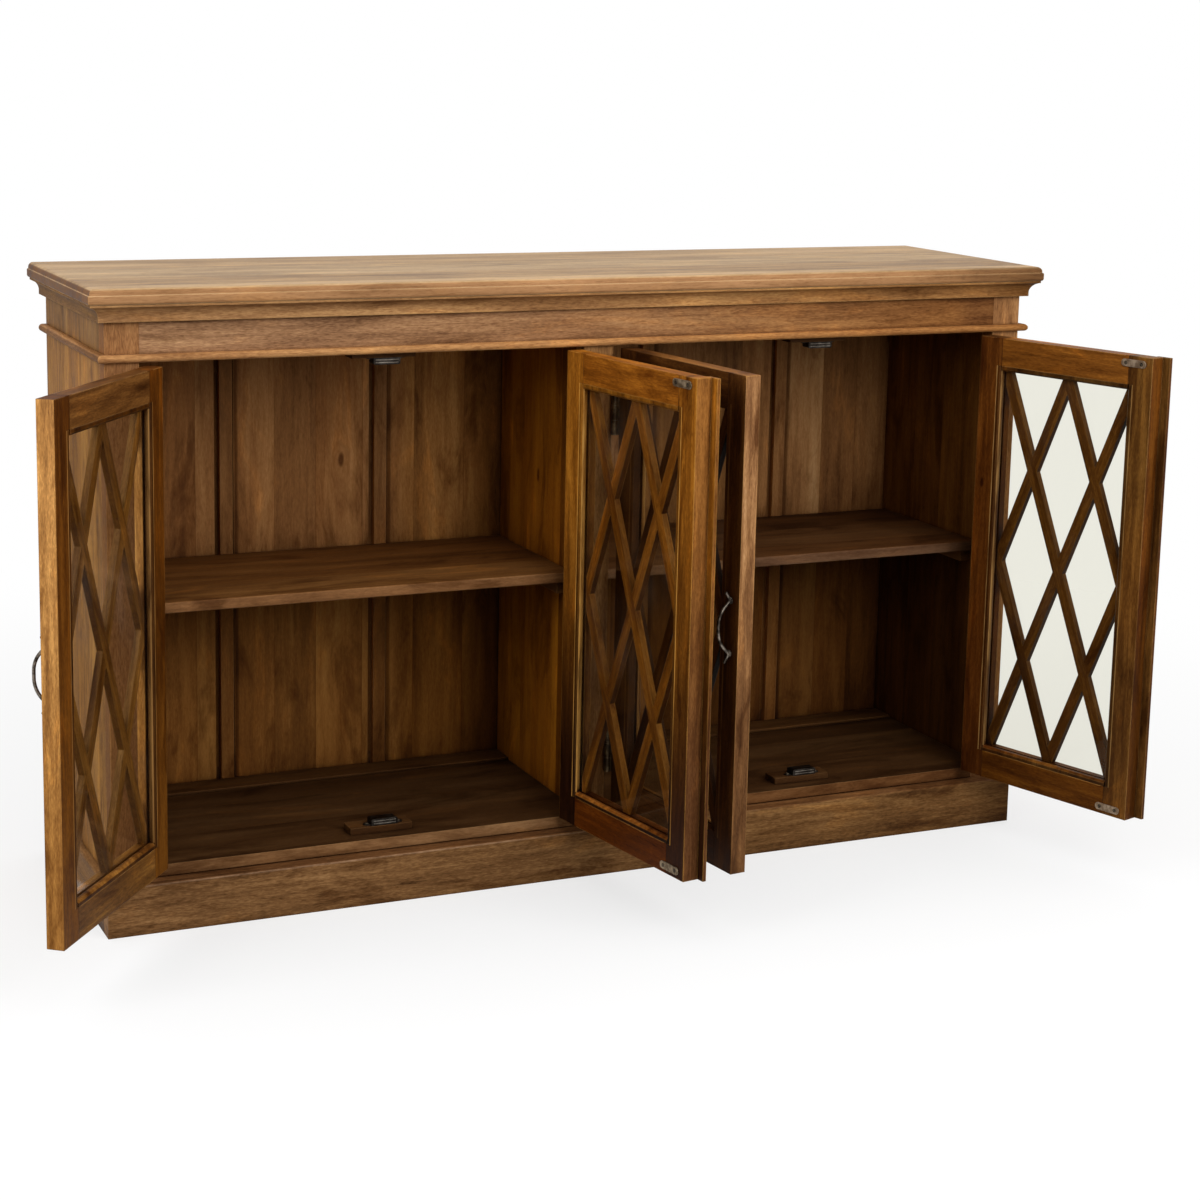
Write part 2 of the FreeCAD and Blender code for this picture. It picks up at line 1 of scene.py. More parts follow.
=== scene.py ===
import bpy
import bmesh
import json
import math

from functools import partial
from mathutils import Matrix, Vector
from types import SimpleNamespace


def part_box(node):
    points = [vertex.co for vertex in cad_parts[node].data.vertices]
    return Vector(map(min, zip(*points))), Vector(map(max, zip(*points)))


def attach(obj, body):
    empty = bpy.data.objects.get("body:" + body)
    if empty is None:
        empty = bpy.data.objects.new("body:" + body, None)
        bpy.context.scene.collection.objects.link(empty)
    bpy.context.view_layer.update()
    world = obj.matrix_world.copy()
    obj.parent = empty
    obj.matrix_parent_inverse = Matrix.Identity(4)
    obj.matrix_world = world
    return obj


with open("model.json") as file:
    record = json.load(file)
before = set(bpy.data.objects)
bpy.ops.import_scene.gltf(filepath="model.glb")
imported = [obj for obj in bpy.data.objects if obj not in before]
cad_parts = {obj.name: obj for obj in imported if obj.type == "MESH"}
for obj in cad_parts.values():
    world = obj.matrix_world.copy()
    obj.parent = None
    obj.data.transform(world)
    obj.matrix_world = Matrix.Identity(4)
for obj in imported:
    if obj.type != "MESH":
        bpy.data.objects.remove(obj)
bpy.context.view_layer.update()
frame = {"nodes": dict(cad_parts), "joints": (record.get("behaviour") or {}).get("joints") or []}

# Camera
CAMERA_PLACE = Vector((-1.454, -3.373, 1.238))
CAMERA_YAW = math.radians(24.26)
CAMERA_PITCH = math.radians(10.27)
CAMERA_ROLL = math.radians(-1.16)
CAMERA_LENS = 72.77
CAMERA_SENSOR = 36.0
CAMERA_SHIFT = (0.0122, -0.1021)

# Light
HORIZON_STRENGTH = 0.3
ZENITH_STRENGTH = 1.1
FLOOR_REACH = 9.0
FLOOR_BOUNCE, FLOOR_PAPER, WHITE = (0.14, 0.14, 0.14, 1), (0.9, 0.9, 0.9, 1), (1, 1, 1, 1)
SHADOW_NEAR, SHADOW_FAR, SHADOW_SHARE = 0.7, 2.2, 0.35
# Name, place, target, size and power of each lamp
LAMPS = (
    ("front_light", (0.5, -1.9, 1.35), (0, -0.2, 0.55), (1.8, 1.0), 23),
    ("left_light", (-2.3, -1.0, 1.6), (-0.75, -0.1, 0.65), (1.2, 1.2), 20),
)


def linear(red, green, blue):
    """A colour given as 0 to 255 screen values, as the linear values that shaders take."""
    def channel(value):
        value = value / 255
        return value / 12.92 if value <= 0.04045 else ((value + 0.055) / 1.055) ** 2.4
    return (channel(red), channel(green), channel(blue), 1.0)


# Wood stains: dark, middle, light and pale grain, then the tone of worn edges. Bands, streaks, flecks, pores
# and patina say how strongly broad bands, long streaks, short dashes, open pores and rubbed patches show. A
# board with painted deep shade gets painted shade that reaches far out from its corners.
STAINS = {
    "front": dict(
        dark=(92, 58, 36), middle=(158, 114, 76), light=(190, 144, 98), pale=(214, 168, 124),
        worn=(214, 162, 104), roughness=0.55, shine=0.03,
        streaks=0.8, flecks=0.6, pores=0.55, patina=0.8),
    "top": dict(
        dark=(108, 82, 56), middle=(176, 146, 110), light=(198, 168, 132), pale=(214, 186, 150),
        worn=(208, 162, 110), roughness=0.5, shine=0.1, streaks=0.9, flecks=0.3, pores=0.4, patina=0.5),
    "plinth": dict(
        dark=(70, 44, 22), middle=(130, 90, 52), light=(162, 118, 72), pale=(184, 140, 92),
        worn=(176, 130, 82), roughness=0.55, shine=0.05,
        streaks=1.0, flecks=0.65, pores=0.55, patina=1.15),
    "side": dict(
        dark=(100, 64, 30), middle=(160, 114, 60), light=(186, 138, 78), pale=(204, 158, 98),
        worn=(206, 154, 94), roughness=0.55, shine=0.05,
        streaks=0.9, flecks=0.5, pores=0.35, patina=1.1),
    # Inner boards take painted shade deep inside the cabinet
    "inner": dict(
        dark=(66, 38, 17), middle=(126, 84, 46), light=(154, 110, 66), pale=(174, 132, 86),
        worn=(164, 118, 70), roughness=0.65, shine=0.06,
        streaks=0.5, flecks=0.35, pores=0.15, patina=1.0, painted_deep_shade=True),
    "door": dict(
        dark=(60, 30, 10), middle=(130, 82, 36), light=(172, 116, 56), pale=(208, 152, 84),
        worn=(214, 162, 98), roughness=0.5, shine=0.06,
        streaks=0.9, flecks=0.45, pores=0.3, patina=1.35),
}
STAINS["even"] = {**STAINS["front"], "bands": 0.25, "streaks": 0.35, "patina": 0.5}
PLAIN_STAIN = dict(bands=0.8, painted_deep_shade=False)
STAIN_STOPS = ((0.1, "dark"), (0.48, "middle"), (0.72, "light"), (0.95, "pale"))


# Places of factor, first and second value among a mix node's inputs
MIX_COLOURS, MIX_NUMBERS = (0, 6, 7), (0, 2, 3)
EDGE_SAMPLES = 4


class Graph:
    """Adds nodes to one tree. Most methods give back the node's output socket."""

    def __init__(self, tree):
        self.tree = tree

    def fill(self, node, inputs):
        """Links or sets inputs of a node, which are keyed by name or by place."""
        for key, value in dict(inputs).items():
            if isinstance(value, bpy.types.NodeSocket):
                self.tree.links.new(value, node.inputs[key])
            else:
                node.inputs[key].default_value = value

    def add(self, kind, inputs=(), **settings):
        node = self.tree.nodes.new("ShaderNode" + kind)
        for name, value in settings.items():
            setattr(node, name, value)
        self.fill(node, inputs)
        return node

    def output(self, kind, inputs, **settings):
        return self.add(kind, inputs, **settings).outputs[0]

    def math(self, operation, *values):
        return self.output("Math", enumerate(values), operation=operation)

    def times(self, first, second):
        return self.math("MULTIPLY", first, second)

    def minus(self, first, second):
        return self.math("SUBTRACT", first, second)

    def scaled(self, value, factor, start):
        return self.math("MULTIPLY_ADD", value, factor, start)

    def vector_math(self, operation, *values):
        node = self.add("VectorMath", enumerate(values), operation=operation)
        return node.outputs["Value" if operation in ("DOT_PRODUCT", "LENGTH") else "Vector"]

    def vector(self, x, y, z):
        return self.output("CombineXYZ", enumerate((x, y, z)))

    def parts(self, vector):
        return list(self.add("SeparateXYZ", {0: vector}).outputs)

    def mix(self, factor, first, second, blend="MIX"):
        inputs = zip(MIX_COLOURS, (factor, first, second))
        return self.add("Mix", inputs, data_type="RGBA", blend_type=blend, clamp_factor=True).outputs[2]

    def tinted(self, colour, factor, tint):
        """The colour multiplied by a tint, as far as the factor says."""
        return self.mix(factor, colour, (*tint, 1.0), "MULTIPLY")

    def choose(self, factor, first, second):
        return self.output("Mix", zip(MIX_NUMBERS, (factor, first, second)), data_type="FLOAT")

    def mix_shader(self, factor, first, second):
        return self.output("MixShader", enumerate((factor, first, second)))

    def noise(self, vector, scale, detail=2.0, roughness=0.5, distortion=0.0):
        inputs = {
            "Vector": self.vector_math("MULTIPLY", vector, scale), "Scale": 1.0, "Detail": detail,
            "Roughness": roughness, "Distortion": distortion}
        return self.add("TexNoise", inputs, noise_dimensions="3D").outputs["Fac"]

    def random(self, value):
        return self.parts(self.add("TexWhiteNoise", {"W": value}, noise_dimensions="1D").outputs["Color"])

    def ramp(self, factor, stops):
        node = self.add("ValToRGB", {"Fac": factor})
        elements = node.color_ramp.elements
        while len(elements) < len(stops):
            elements.new(0.5)
        for element, (position, colour) in zip(elements, stops):
            element.position = position
            element.color = colour
        return node.outputs["Color"]

    def rise(self, value, start, end, low=0.0, high=1.0):
        """A smooth step from low to high as the value goes from start to end."""
        inputs = enumerate((value, start, end, low, high))
        return self.output("MapRange", inputs, interpolation_type="SMOOTHSTEP")

    def rounded(self, radius):
        """The normal as if every edge had this radius."""
        return self.output("Bevel", {"Radius": radius}, samples=EDGE_SAMPLES)

    def turned(self, normal):
        """How far a normal has turned from the face's own, which tells where the edges are."""
        flat = self.add("NewGeometry").outputs["True Normal"]
        return self.minus(1.0, self.vector_math("DOT_PRODUCT", normal, flat))

    def bumped(self, normal, height, strength, distance):
        return self.output("Bump", {
            "Normal": normal, "Height": height, "Strength": strength, "Distance": distance})


def add_object(name, data):
    thing = bpy.data.objects.new(name, data)
    bpy.context.scene.collection.objects.link(thing)
    return thing


def new_material(name):
    material = bpy.data.materials.new(name)
    material.use_nodes = True
    material.node_tree.nodes.clear()
    return material, Graph(material.node_tree)


def finished(material, graph, shader):
    graph.add("OutputMaterial", {"Surface": shader})
    return material


# Wood

WEAR_RADIUS = 0.0022
WEAR_MOST, WEAR_LEAST = 0.9, 0.25
# Reach of the dirt and painted shade in corners
DIRT_AND_SHADE_DISTANCE = 0.014
OCCLUSION_SAMPLES = 4
# Reach of the painted shade deep inside the cabinet
DEEP_SHADE_DISTANCE = 0.09
# Reach of the painted shade before a close piece
CLOSE_SHADE_DISTANCE = 0.14
SEAM_WIDTH = 0.0007
RUBBED_LINE = 0.0018
LATTICE_BAR = 0.017
# How much of a line's, and of a seam's, width is full
LINE_CORE, SEAM_CORE = 0.6, 0.3
STRIP_FRONT = 0.001
GRAIN_BEND = 0.75
KNOT_STRETCH, KNOT_FALL, KNOT_BEND_FALL = 2.4, -1.4, -0.16
SWAY_RATE, SWAY_SHARE = 11.0, 0.22
# What each further seed adds to the planks' sway, place and pick, to hue and shift, and to the grain's place
SWAY_STEP, PLANK_STEP, PICK_STEP = 1.7, 0.37, 13.31
HUE_STEP, SHIFT_STEP, ALONG_STEP, ACROSS_STEP = 0.617, 0.273, 1.93, 0.71
# How far shift and hue move the grain along and across
ALONG_SPREAD, ACROSS_SPREAD = 4.7, 1.3
BUMP_STRENGTH, BUMP_HEIGHT = 0.25, 0.0006
# Where each layer starts and is full, and for some how strong it is at these ends
OPEN_PORE, EDGE_TURN, WEAR_BLOTCH, RUBBED_STREAK = (0.56, 0.68), (0.005, 0.12), (0.35, 0.62), (0.3, 0.6)
RED_HUE, KNOT_DEPTH, CLEAN = (0.2, 1.0, 0.0, 0.7), (0.15, 0.8, 0.0, 0.9), (0.55, 0.85)
# Dirt with painted shade in corners, painted shade deep inside, and painted shade before a close piece
DIRT_AND_SHADE_RISE, DEEP_SHADE_RISE, CLOSE = (0.2, 0.8, 0.92, 0.0), (0.25, 0.9, 0.65, -0.25), (0.65, 0.92, 1.0, 0.0)
DEEP_SHADE_BLOTCH, ROUGHNESS_SPREAD, WORN_TINT, PORE_RELIEF, SEAM_RELIEF = 0.5, 0.3, 0.65, -0.6, -1.2
# Tints of dark and of rubbed patches, and the blotch noise where each starts and is full
PATCHES = (((0.56, 0.5, 0.44), 0.5, 0.68), ((1.4, 1.34, 1.18), 0.46, 0.3))
RED_PLANK = (1.0, 0.92, 0.82)
# Tint of the painted shadow line beside strips
STRIP_SHADOW_TINT = (0.42, 0.36, 0.28)
PORE_TINT = (0.55, 0.47, 0.4)
KNOT_TINT = (0.24, 0.17, 0.12)
JOINT_TINT = (0.7, 0.62, 0.54)
# Tint of dirt with painted shade in corners
DIRT_AND_SHADE_TINT = (0.28, 0.21, 0.16)
# Tint of the painted shade deep inside
DEEP_SHADE_TINT = (0.36, 0.29, 0.21)
SEAM_TINT = (0.72, 0.66, 0.6)

# Scale along and across the grain, detail, roughness and distortion of each noise in the wood
GRAIN_NOISES = {
    "band": (1.6, 17.0, 3.0, 0.55, 0.7),
    "streak": (7.5, 100.0, 4.0, 0.62, 0.5),
    "fleck": (120.0, 520.0, 2.0, 0.65, 0.0),
    "pore": (75.0, 640.0, 1.0, 0.5, 0.0),
    "blotch": (5.0, 18.0, 5.0, 0.66, 0.6),
}


# Each door body's rest angle about its hinge, and that hinge's place
DOOR_TURNS = {
    joint["child"]: (math.radians(-joint["range_deg"][0] * joint["axis"][2]), Vector(joint["pos_m"]))
    for joint in frame["joints"]}


def rest_place(door):
    """Carries the closed door's own coordinates to where the door stands at rest."""
    angle, place = DOOR_TURNS[door]
    return Matrix.Translation((place.x, place.y, 0)) @ Matrix.Rotation(angle, 4, "Z")


def closed_points(door, piece):
    """The points of a door's piece in the closed door's own coordinates."""
    back = rest_place(door).inverted()
    return [back @ vertex.co for vertex in frame["nodes"][door + "_" + piece].data.vertices]


def corners_of(points):
    return [Vector([limit(values) for values in zip(*points)]) for limit in (min, max)]


def closed(graph, body, output, kind="POINT"):
    """Where a point lies, or how it faces, on the cabinet or on the closed door about its hinge."""
    value = graph.add("TexCoord").outputs[output]
    if body not in DOOR_TURNS:
        return value
    angle, place = DOOR_TURNS[body]
    inputs = {"Vector": value, "Rotation": (0, 0, -angle)}
    if kind == "POINT":
        inputs["Location"] = -(Matrix.Rotation(-angle, 3, "Z") @ Vector((place.x, place.y, 0)))
    return graph.output("Mapping", inputs, vector_type=kind)


def straight_grain(order, graph, point):
    """Grain space for a board whose grain, width and thickness run along the axes in order."""
    axes = dict(zip("XYZ", graph.parts(point)))
    return [axes[letter] for letter in order]


def moulding_grain(half_width, front_y, graph, point):
    """Grain space for a moulding along the front that turns the corner at a mitre on each end."""
    x, y, z = graph.parts(point)
    beyond_end = graph.minus(graph.math("ABSOLUTE", x), half_width)
    beyond_front = graph.minus(front_y, y)
    on_return = graph.math("GREATER_THAN", beyond_end, beyond_front)
    return [graph.choose(on_return, x, y), z, graph.choose(on_return, y, x)]


def lattice_grain(low, high, graph, point):
    """Grain space that follows diagonal bars in both directions between two corners."""
    size, centre = high - low, (low + high) / 2
    angle = math.atan2(size.z, size.x)
    spacing = size.x / 2 * math.sin(angle)
    offset = graph.vector_math("SUBTRACT", point, centre)
    runs = []
    for climb in (math.sin(angle), -math.sin(angle)):
        along = graph.vector_math("DOT_PRODUCT", offset, (math.cos(angle), 0, climb))
        across = graph.vector_math("DOT_PRODUCT", offset, (-climb, 0, math.cos(angle)))
        runs.append((along, across))
    from_line = graph.math("WRAP", runs[0][1], spacing / 2, -spacing / 2)
    on_up = graph.math("LESS_THAN", graph.math("ABSOLUTE", from_line), LATTICE_BAR / 2)
    along, across = [graph.choose(on_up, down, up) for up, down in zip(*runs)]
    return [along, across, graph.parts(point)[1]]


def from_middle(graph, x, middle):
    return graph.math("ABSOLUTE", graph.minus(x, middle))


def beyond_width(middle, half_width, graph, point):
    """Marks what lies further from the middle than half the width."""
    return graph.math("GREATER_THAN", from_middle(graph, graph.parts(point)[0], middle), half_width)


def beside_rails(middle, half_width, foot_z, head_z, graph, point):
    """Marks what lies within the width and below the foot or above the head."""
    x, _, z = graph.parts(point)
    near = graph.math("LESS_THAN", from_middle(graph, x, middle), half_width)
    low, high = graph.math("LESS_THAN", z, foot_z), graph.math("GREATER_THAN", z, head_z)
    return graph.times(near, graph.math("MAXIMUM", low, high))


def beside_opening(low, high, graph, point):
    """Marks a thin line along the two upright edges of an opening."""
    x, _, z = graph.parts(point)
    from_edge = graph.minus(from_middle(graph, x, (low.x + high.x) / 2), (high.x - low.x) / 2)
    core = RUBBED_LINE * LINE_CORE
    near = graph.rise(graph.math("ABSOLUTE", from_edge), core, RUBBED_LINE, 1.0, 0.0)
    above_foot, below_head = graph.math("GREATER_THAN", z, low.z), graph.math("LESS_THAN", z, high.z)
    return graph.times(near, graph.times(above_foot, below_head))


def right_of_strips(node, width, graph, point):
    """Marks a line to the right of each upright strip that a node has at its front, where a painted shadow
    goes.
    """
    mesh = frame["nodes"][node].data
    front = min(vertex.co.y for vertex in mesh.vertices) + STRIP_FRONT
    front_faces = [face for face in mesh.polygons if face.center.y < front]
    sides = {round(max(mesh.vertices[i].co.x for i in face.vertices), 3) for face in front_faces}
    x, marked = graph.parts(point)[0], 0.0
    for side in sorted(sides):
        beyond = graph.minus(x, side)
        right = graph.math("GREATER_THAN", beyond, 0.0)
        line = graph.times(right, graph.rise(beyond, width * LINE_CORE, width, 1.0, 0.0))
        marked = graph.math("MAXIMUM", marked, line)
    return marked


def plank_values(graph, across, width, seed):
    """Three random numbers for each plank, and how near the seam between two planks is."""
    sway = graph.math("SINE", graph.scaled(across, SWAY_RATE, seed * SWAY_STEP))
    swayed = graph.scaled(sway, width * SWAY_SHARE, across)
    place = graph.math("ADD", graph.math("DIVIDE", swayed, width), seed * PLANK_STEP)
    index = graph.math("FLOOR", place)
    offset = graph.minus(place, index)
    nearest = graph.math("MINIMUM", offset, graph.minus(1.0, offset))
    distance = graph.times(nearest, width)
    seam = graph.rise(distance, SEAM_WIDTH * SEAM_CORE, SEAM_WIDTH, 1.0, 0.0)
    return graph.random(graph.math("ADD", index, seed * PICK_STEP)), seam


def knot_field(graph, along, across, knots):
    """How deep a point lies in the nearest knot, 0 outside, and how far the grain bends round it."""
    place, depth, bend = graph.vector(along, across, 0.0), 0.0, 0.0
    for knot_along, knot_across, size in knots:
        offset = graph.vector_math("SUBTRACT", place, (knot_along, knot_across, 0))
        scaled = graph.vector_math("DIVIDE", offset, (size * KNOT_STRETCH, size, 1))
        far = graph.vector_math("DOT_PRODUCT", scaled, scaled)
        fall = graph.math("EXPONENT", graph.times(far, KNOT_BEND_FALL))
        bend = graph.scaled(fall, graph.parts(offset)[1], bend)
        depth = graph.math("ADD", depth, graph.math("EXPONENT", graph.times(far, KNOT_FALL)))
    return depth, bend


def shaded(colour, tint):
    return (colour[0] * tint[0], colour[1] * tint[1], colour[2] * tint[2], 1.0)


def strengthened(tint, strength):
    """A tint moved away from white, or back towards it, by a strength."""
    return [1 + (value - 1) * strength for value in tint]


def along_axis(graph, vector, axis):
    return graph.parts(vector)["XYZ".index(axis)]


class Wood:
    """Stained wood on one board: its grain, and the layers of colour that lie over it."""

    def __init__(self, graph, body, space, stain, seed, finish):
        self.graph, self.body, self.finish = graph, body, finish
        self.stain = {**PLAIN_STAIN, **STAINS[stain]}
        self.point = closed(graph, body, "Object")
        self.lay_grain(space, seed)
        self.open_pore = graph.rise(self.noises["pore"], *OPEN_PORE, 0.0, self.stain["pores"])
        self.rounded = graph.rounded(WEAR_RADIUS)

    def lay_grain(self, space, seed):
        """Gives each plank its own tone and stretch of grain, and bends the grain round the knots."""
        graph, finish = self.graph, self.finish
        along, across, through = space(graph, self.point)
        self.plank_tone, self.hue, shift = 0.5, seed * HUE_STEP % 1.0, seed * SHIFT_STEP % 1.0
        if finish.planks:
            tones, self.seam = plank_values(graph, across, finish.planks[0], seed)
            self.plank_tone, self.hue, shift = tones
        if finish.knots:
            self.knot, bend = knot_field(graph, along, across, finish.knots)
            across = graph.scaled(bend, -GRAIN_BEND, across)
        far_along = graph.scaled(shift, ALONG_SPREAD, seed * ALONG_STEP)
        far_across = graph.scaled(self.hue, ACROSS_SPREAD, seed * ACROSS_STEP)
        along, across = graph.math("ADD", along, far_along), graph.math("ADD", across, far_across)
        grain = graph.vector(along, across, through)
        self.noises = {}
        for name, (along_scale, cross_scale, *settings) in GRAIN_NOISES.items():
            self.noises[name] = graph.noise(grain, (along_scale, cross_scale, cross_scale), *settings)

    def moved(self, tone, value, strength):
        """The tone moved up or down by a value that lies around a half."""
        return self.graph.scaled(self.graph.minus(value, 0.5), strength, tone)

    def shelter(self, distance):
        """1 in the open, less where another face stands within the distance."""
        node = self.graph.add("AmbientOcclusion", {"Distance": distance}, samples=OCCLUSION_SAMPLES)
        return node.outputs["AO"]

    def uneven_tint(self):
        """A tint that changes along the board or with the way a face looks, which mostly paints light and
        shade.
        """
        graph, finish = self.graph, self.finish
        fade_tint = None
        if finish.fade:
            fade_tint, axis, start, end = finish.fade
            reach = graph.rise(along_axis(graph, self.point, axis), start, end)

        def faded(main_tint, other_tint=None):
            if not other_tint:
                return main_tint + (1,)
            return graph.mix(reach, other_tint + (1,), main_tint + (1,))

        result = faded(finish.tint, fade_tint)
        normal = closed(graph, self.body, "Normal", "VECTOR") if finish.faces else None
        for axis, direction, *face_tints in finish.faces:
            looking = along_axis(graph, normal, axis)
            if direction:
                looking = graph.times(looking, direction)
            else:
                looking = graph.math("ABSOLUTE", looking)
            result = graph.mix(graph.rise(looking, *finish.facing), result, faded(*face_tints))
        return result

    def stained(self):
        """The grain in the colours of the stain, with dark and rubbed patches."""
        graph, finish, noises = self.graph, self.finish, self.noises
        tone = 0.5
        for name in ("band", "streak", "fleck"):
            tone = self.moved(tone, noises[name], self.stain[name + "s"])
        if finish.planks:
            tone = self.moved(tone, self.plank_tone, finish.planks[1])
        even = not finish.fade and not finish.faces
        ramp_tint = finish.tint if even else (1, 1, 1)
        stops = [(place, shaded(linear(*self.stain[key]), ramp_tint)) for place, key in STAIN_STOPS]
        colour = graph.ramp(tone, stops)
        if not even:
            colour = graph.mix(1.0, colour, self.uneven_tint(), "MULTIPLY")
        if finish.planks:
            colour = graph.tinted(colour, graph.rise(self.hue, *RED_HUE), RED_PLANK)
        for tint, start, end in PATCHES:
            patch = graph.rise(noises["blotch"], start, end)
            colour = graph.tinted(colour, patch, strengthened(tint, self.stain["patina"]))
        return colour

    def marked(self, colour):
        """The colour with the board's shades, painted shadow lines beside strips, pores and knots."""
        graph, finish = self.graph, self.finish
        for shade_tint, *spans in finish.shades:
            reach = 1.0
            for axis, start, end in spans:
                reached = graph.rise(along_axis(graph, self.point, axis), start, end)
                reach = graph.times(reach, reached)
            colour = graph.tinted(colour, reach, shade_tint)
        # A painted shadow line beside strips
        if finish.grimy:
            colour = graph.tinted(colour, finish.grimy(graph, self.point), STRIP_SHADOW_TINT)
        colour = graph.tinted(colour, self.open_pore, PORE_TINT)
        if finish.knots:
            colour = graph.tinted(colour, graph.rise(self.knot, *KNOT_DEPTH), KNOT_TINT)
        return colour

    def worn(self, colour):
        """The colour with pale worn edges, dark joints, and dirt with painted shade in the corners."""
        graph, finish = self.graph, self.finish
        edge = graph.rise(graph.turned(self.rounded), *EDGE_TURN)
        most, least = WEAR_MOST * finish.wearing, WEAR_LEAST * finish.wearing
        wear = graph.times(edge, graph.rise(self.noises["blotch"], *WEAR_BLOTCH, most, least))
        if finish.joint:
            at_joint = finish.joint(graph, self.point)
            wear = graph.times(wear, graph.minus(1.0, at_joint))
            colour = graph.tinted(colour, graph.times(edge, at_joint), JOINT_TINT)
        if finish.rubbed:
            thin = graph.rise(self.noises["streak"], *RUBBED_STREAK)
            rubbed = graph.times(finish.rubbed(graph, self.point), thin)
            wear = graph.math("MAXIMUM", wear, rubbed)
        worn_colour = shaded(linear(*self.stain["worn"]), strengthened(finish.tint, WORN_TINT))
        if not finish.dirty:
            return graph.mix(wear, colour, worn_colour)
        # Dirt with painted shade in corners, from occlusion at short range
        shelter = self.shelter(DIRT_AND_SHADE_DISTANCE)
        wear = graph.times(wear, graph.rise(shelter, *CLEAN))
        colour = graph.mix(wear, colour, worn_colour)
        return graph.tinted(colour, graph.rise(shelter, *DIRT_AND_SHADE_RISE), DIRT_AND_SHADE_TINT)

    def darkened(self, colour):
        """The colour with painted shade deep inside, painted shade where a close piece stands before it, and
        the seams between planks.
        """
        graph, finish = self.graph, self.finish
        # Painted shade deep inside, from occlusion at long range, mottled by the blotch noise
        if self.stain["painted_deep_shade"]:
            thick = graph.rise(self.shelter(DEEP_SHADE_DISTANCE), *DEEP_SHADE_RISE)
            deep_shade = graph.scaled(self.noises["blotch"], DEEP_SHADE_BLOTCH, thick)
            colour = graph.tinted(colour, deep_shade, DEEP_SHADE_TINT)
        # Painted shade where another piece stands close before the board
        if finish.sheltered:
            close = graph.rise(self.shelter(CLOSE_SHADE_DISTANCE), *CLOSE)
            colour = graph.tinted(colour, close, finish.sheltered)
        if finish.planks:
            colour = graph.tinted(colour, self.seam, SEAM_TINT)
        return colour

    def normal(self):
        """Rounded edges, with fine relief from flecks, pores and seams."""
        graph = self.graph
        height = graph.scaled(self.open_pore, PORE_RELIEF, self.noises["fleck"])
        if self.finish.planks:
            height = graph.scaled(self.seam, SEAM_RELIEF, height)
        return graph.bumped(self.rounded, height, BUMP_STRENGTH, BUMP_HEIGHT)

    def roughness(self):
        return self.moved(self.stain["roughness"], self.noises["streak"], ROUGHNESS_SPREAD)


# Planks: their width and how far their tones differ. Fade: a second tint, an axis, and the two places on it
# between which the first tint takes over; most fades are painted shade. Faces: an axis, a direction or 0 for
# both, and a tint, or two to fade between, for the sides that look that way, as squarely as facing says;
# most paint light or shade onto one side. Shades: a further tint where all its spans are reached, mostly
# painted
# shade or painted highlight. Joint: edges that meet another board, dark and not worn. Rubbed: further worn
# places. Strip shadow: a painted shadow line beside strips. Close piece shade: a tint of painted shade where
# another piece stands close before the board. Dirt and shade: whether dirt with painted shade gathers in
# corners.
PLAIN_FINISH = dict(
    planks=None, tint=(1, 1, 1), fade=None, faces=(), facing=(0.6, 0.85), shades=(), knots=(), joint=None,
    rubbed=None, grimy=None, wearing=1.0, dirty=True, sheltered=None)


def wood_material(name, body, space, stain, seed, finish):
    material, graph = new_material(name)
    wood = Wood(graph, body, space, stain, seed, SimpleNamespace(**{**PLAIN_FINISH, **finish}))
    return finished(material, graph, graph.output("BsdfPrincipled", {
        "Base Color": wood.darkened(wood.worn(wood.marked(wood.stained()))), "Roughness": wood.roughness(),
        "Normal": wood.normal(), "Specular IOR Level": wood.stain["shine"]}))


# Metal and glass

METAL_WEAR_RADIUS = 0.0008
TARNISH_SCALE, CASTING_SCALE = (90.0, 90.0, 90.0), (900.0, 900.0, 900.0)
CASTING_STRENGTH, CASTING_HEIGHT, TARNISH_ROUGHNESS = 0.2, 0.0002, 0.25
BRIGHT_EDGES, BRIGHT_PATCHES = (0.01, 0.15, 0.0, 0.8), (0.4, 0.7, 0.0, 0.7)
# Tarnished colour, rubbed colour and roughness
METALS = {
    "antique": ((52, 46, 40), (168, 156, 142), 0.28),
    "hinge": ((58, 48, 38), (128, 110, 84), 0.35),
    "catch": ((30, 26, 23), (70, 64, 58), 0.4),
    "catch_plate": ((66, 60, 54), (138, 130, 120), 0.34),
    "dull_strike": ((110, 94, 74), (190, 172, 144), 0.42),
    "bright_strike": ((120, 100, 80), (190, 170, 146), 0.38),
    "screw": ((66, 56, 46), (160, 144, 124), 0.34),
    "strike_screw": ((40, 34, 28), (110, 98, 82), 0.4),
}


def metal_material(name):
    """Cast or pressed metal with a tarnish that has rubbed off the high edges."""
    dark, bright, roughness = METALS[name]
    material, graph = new_material(name + "_metal")
    point = graph.add("TexCoord").outputs["Object"]
    broad = graph.noise(point, TARNISH_SCALE, detail=3.0, roughness=0.6)
    fine = graph.noise(point, CASTING_SCALE)
    rounded = graph.rounded(METAL_WEAR_RADIUS)
    on_edges = graph.rise(graph.turned(rounded), *BRIGHT_EDGES)
    rubbed = graph.math("MAXIMUM", on_edges, graph.rise(broad, *BRIGHT_PATCHES))
    return finished(material, graph, graph.output("BsdfPrincipled", {
        "Base Color": graph.mix(rubbed, linear(*dark), linear(*bright)), "Metallic": 1.0,
        "Roughness": graph.scaled(broad, TARNISH_ROUGHNESS, roughness),
        "Normal": graph.bumped(rounded, fine, CASTING_STRENGTH, CASTING_HEIGHT)}))


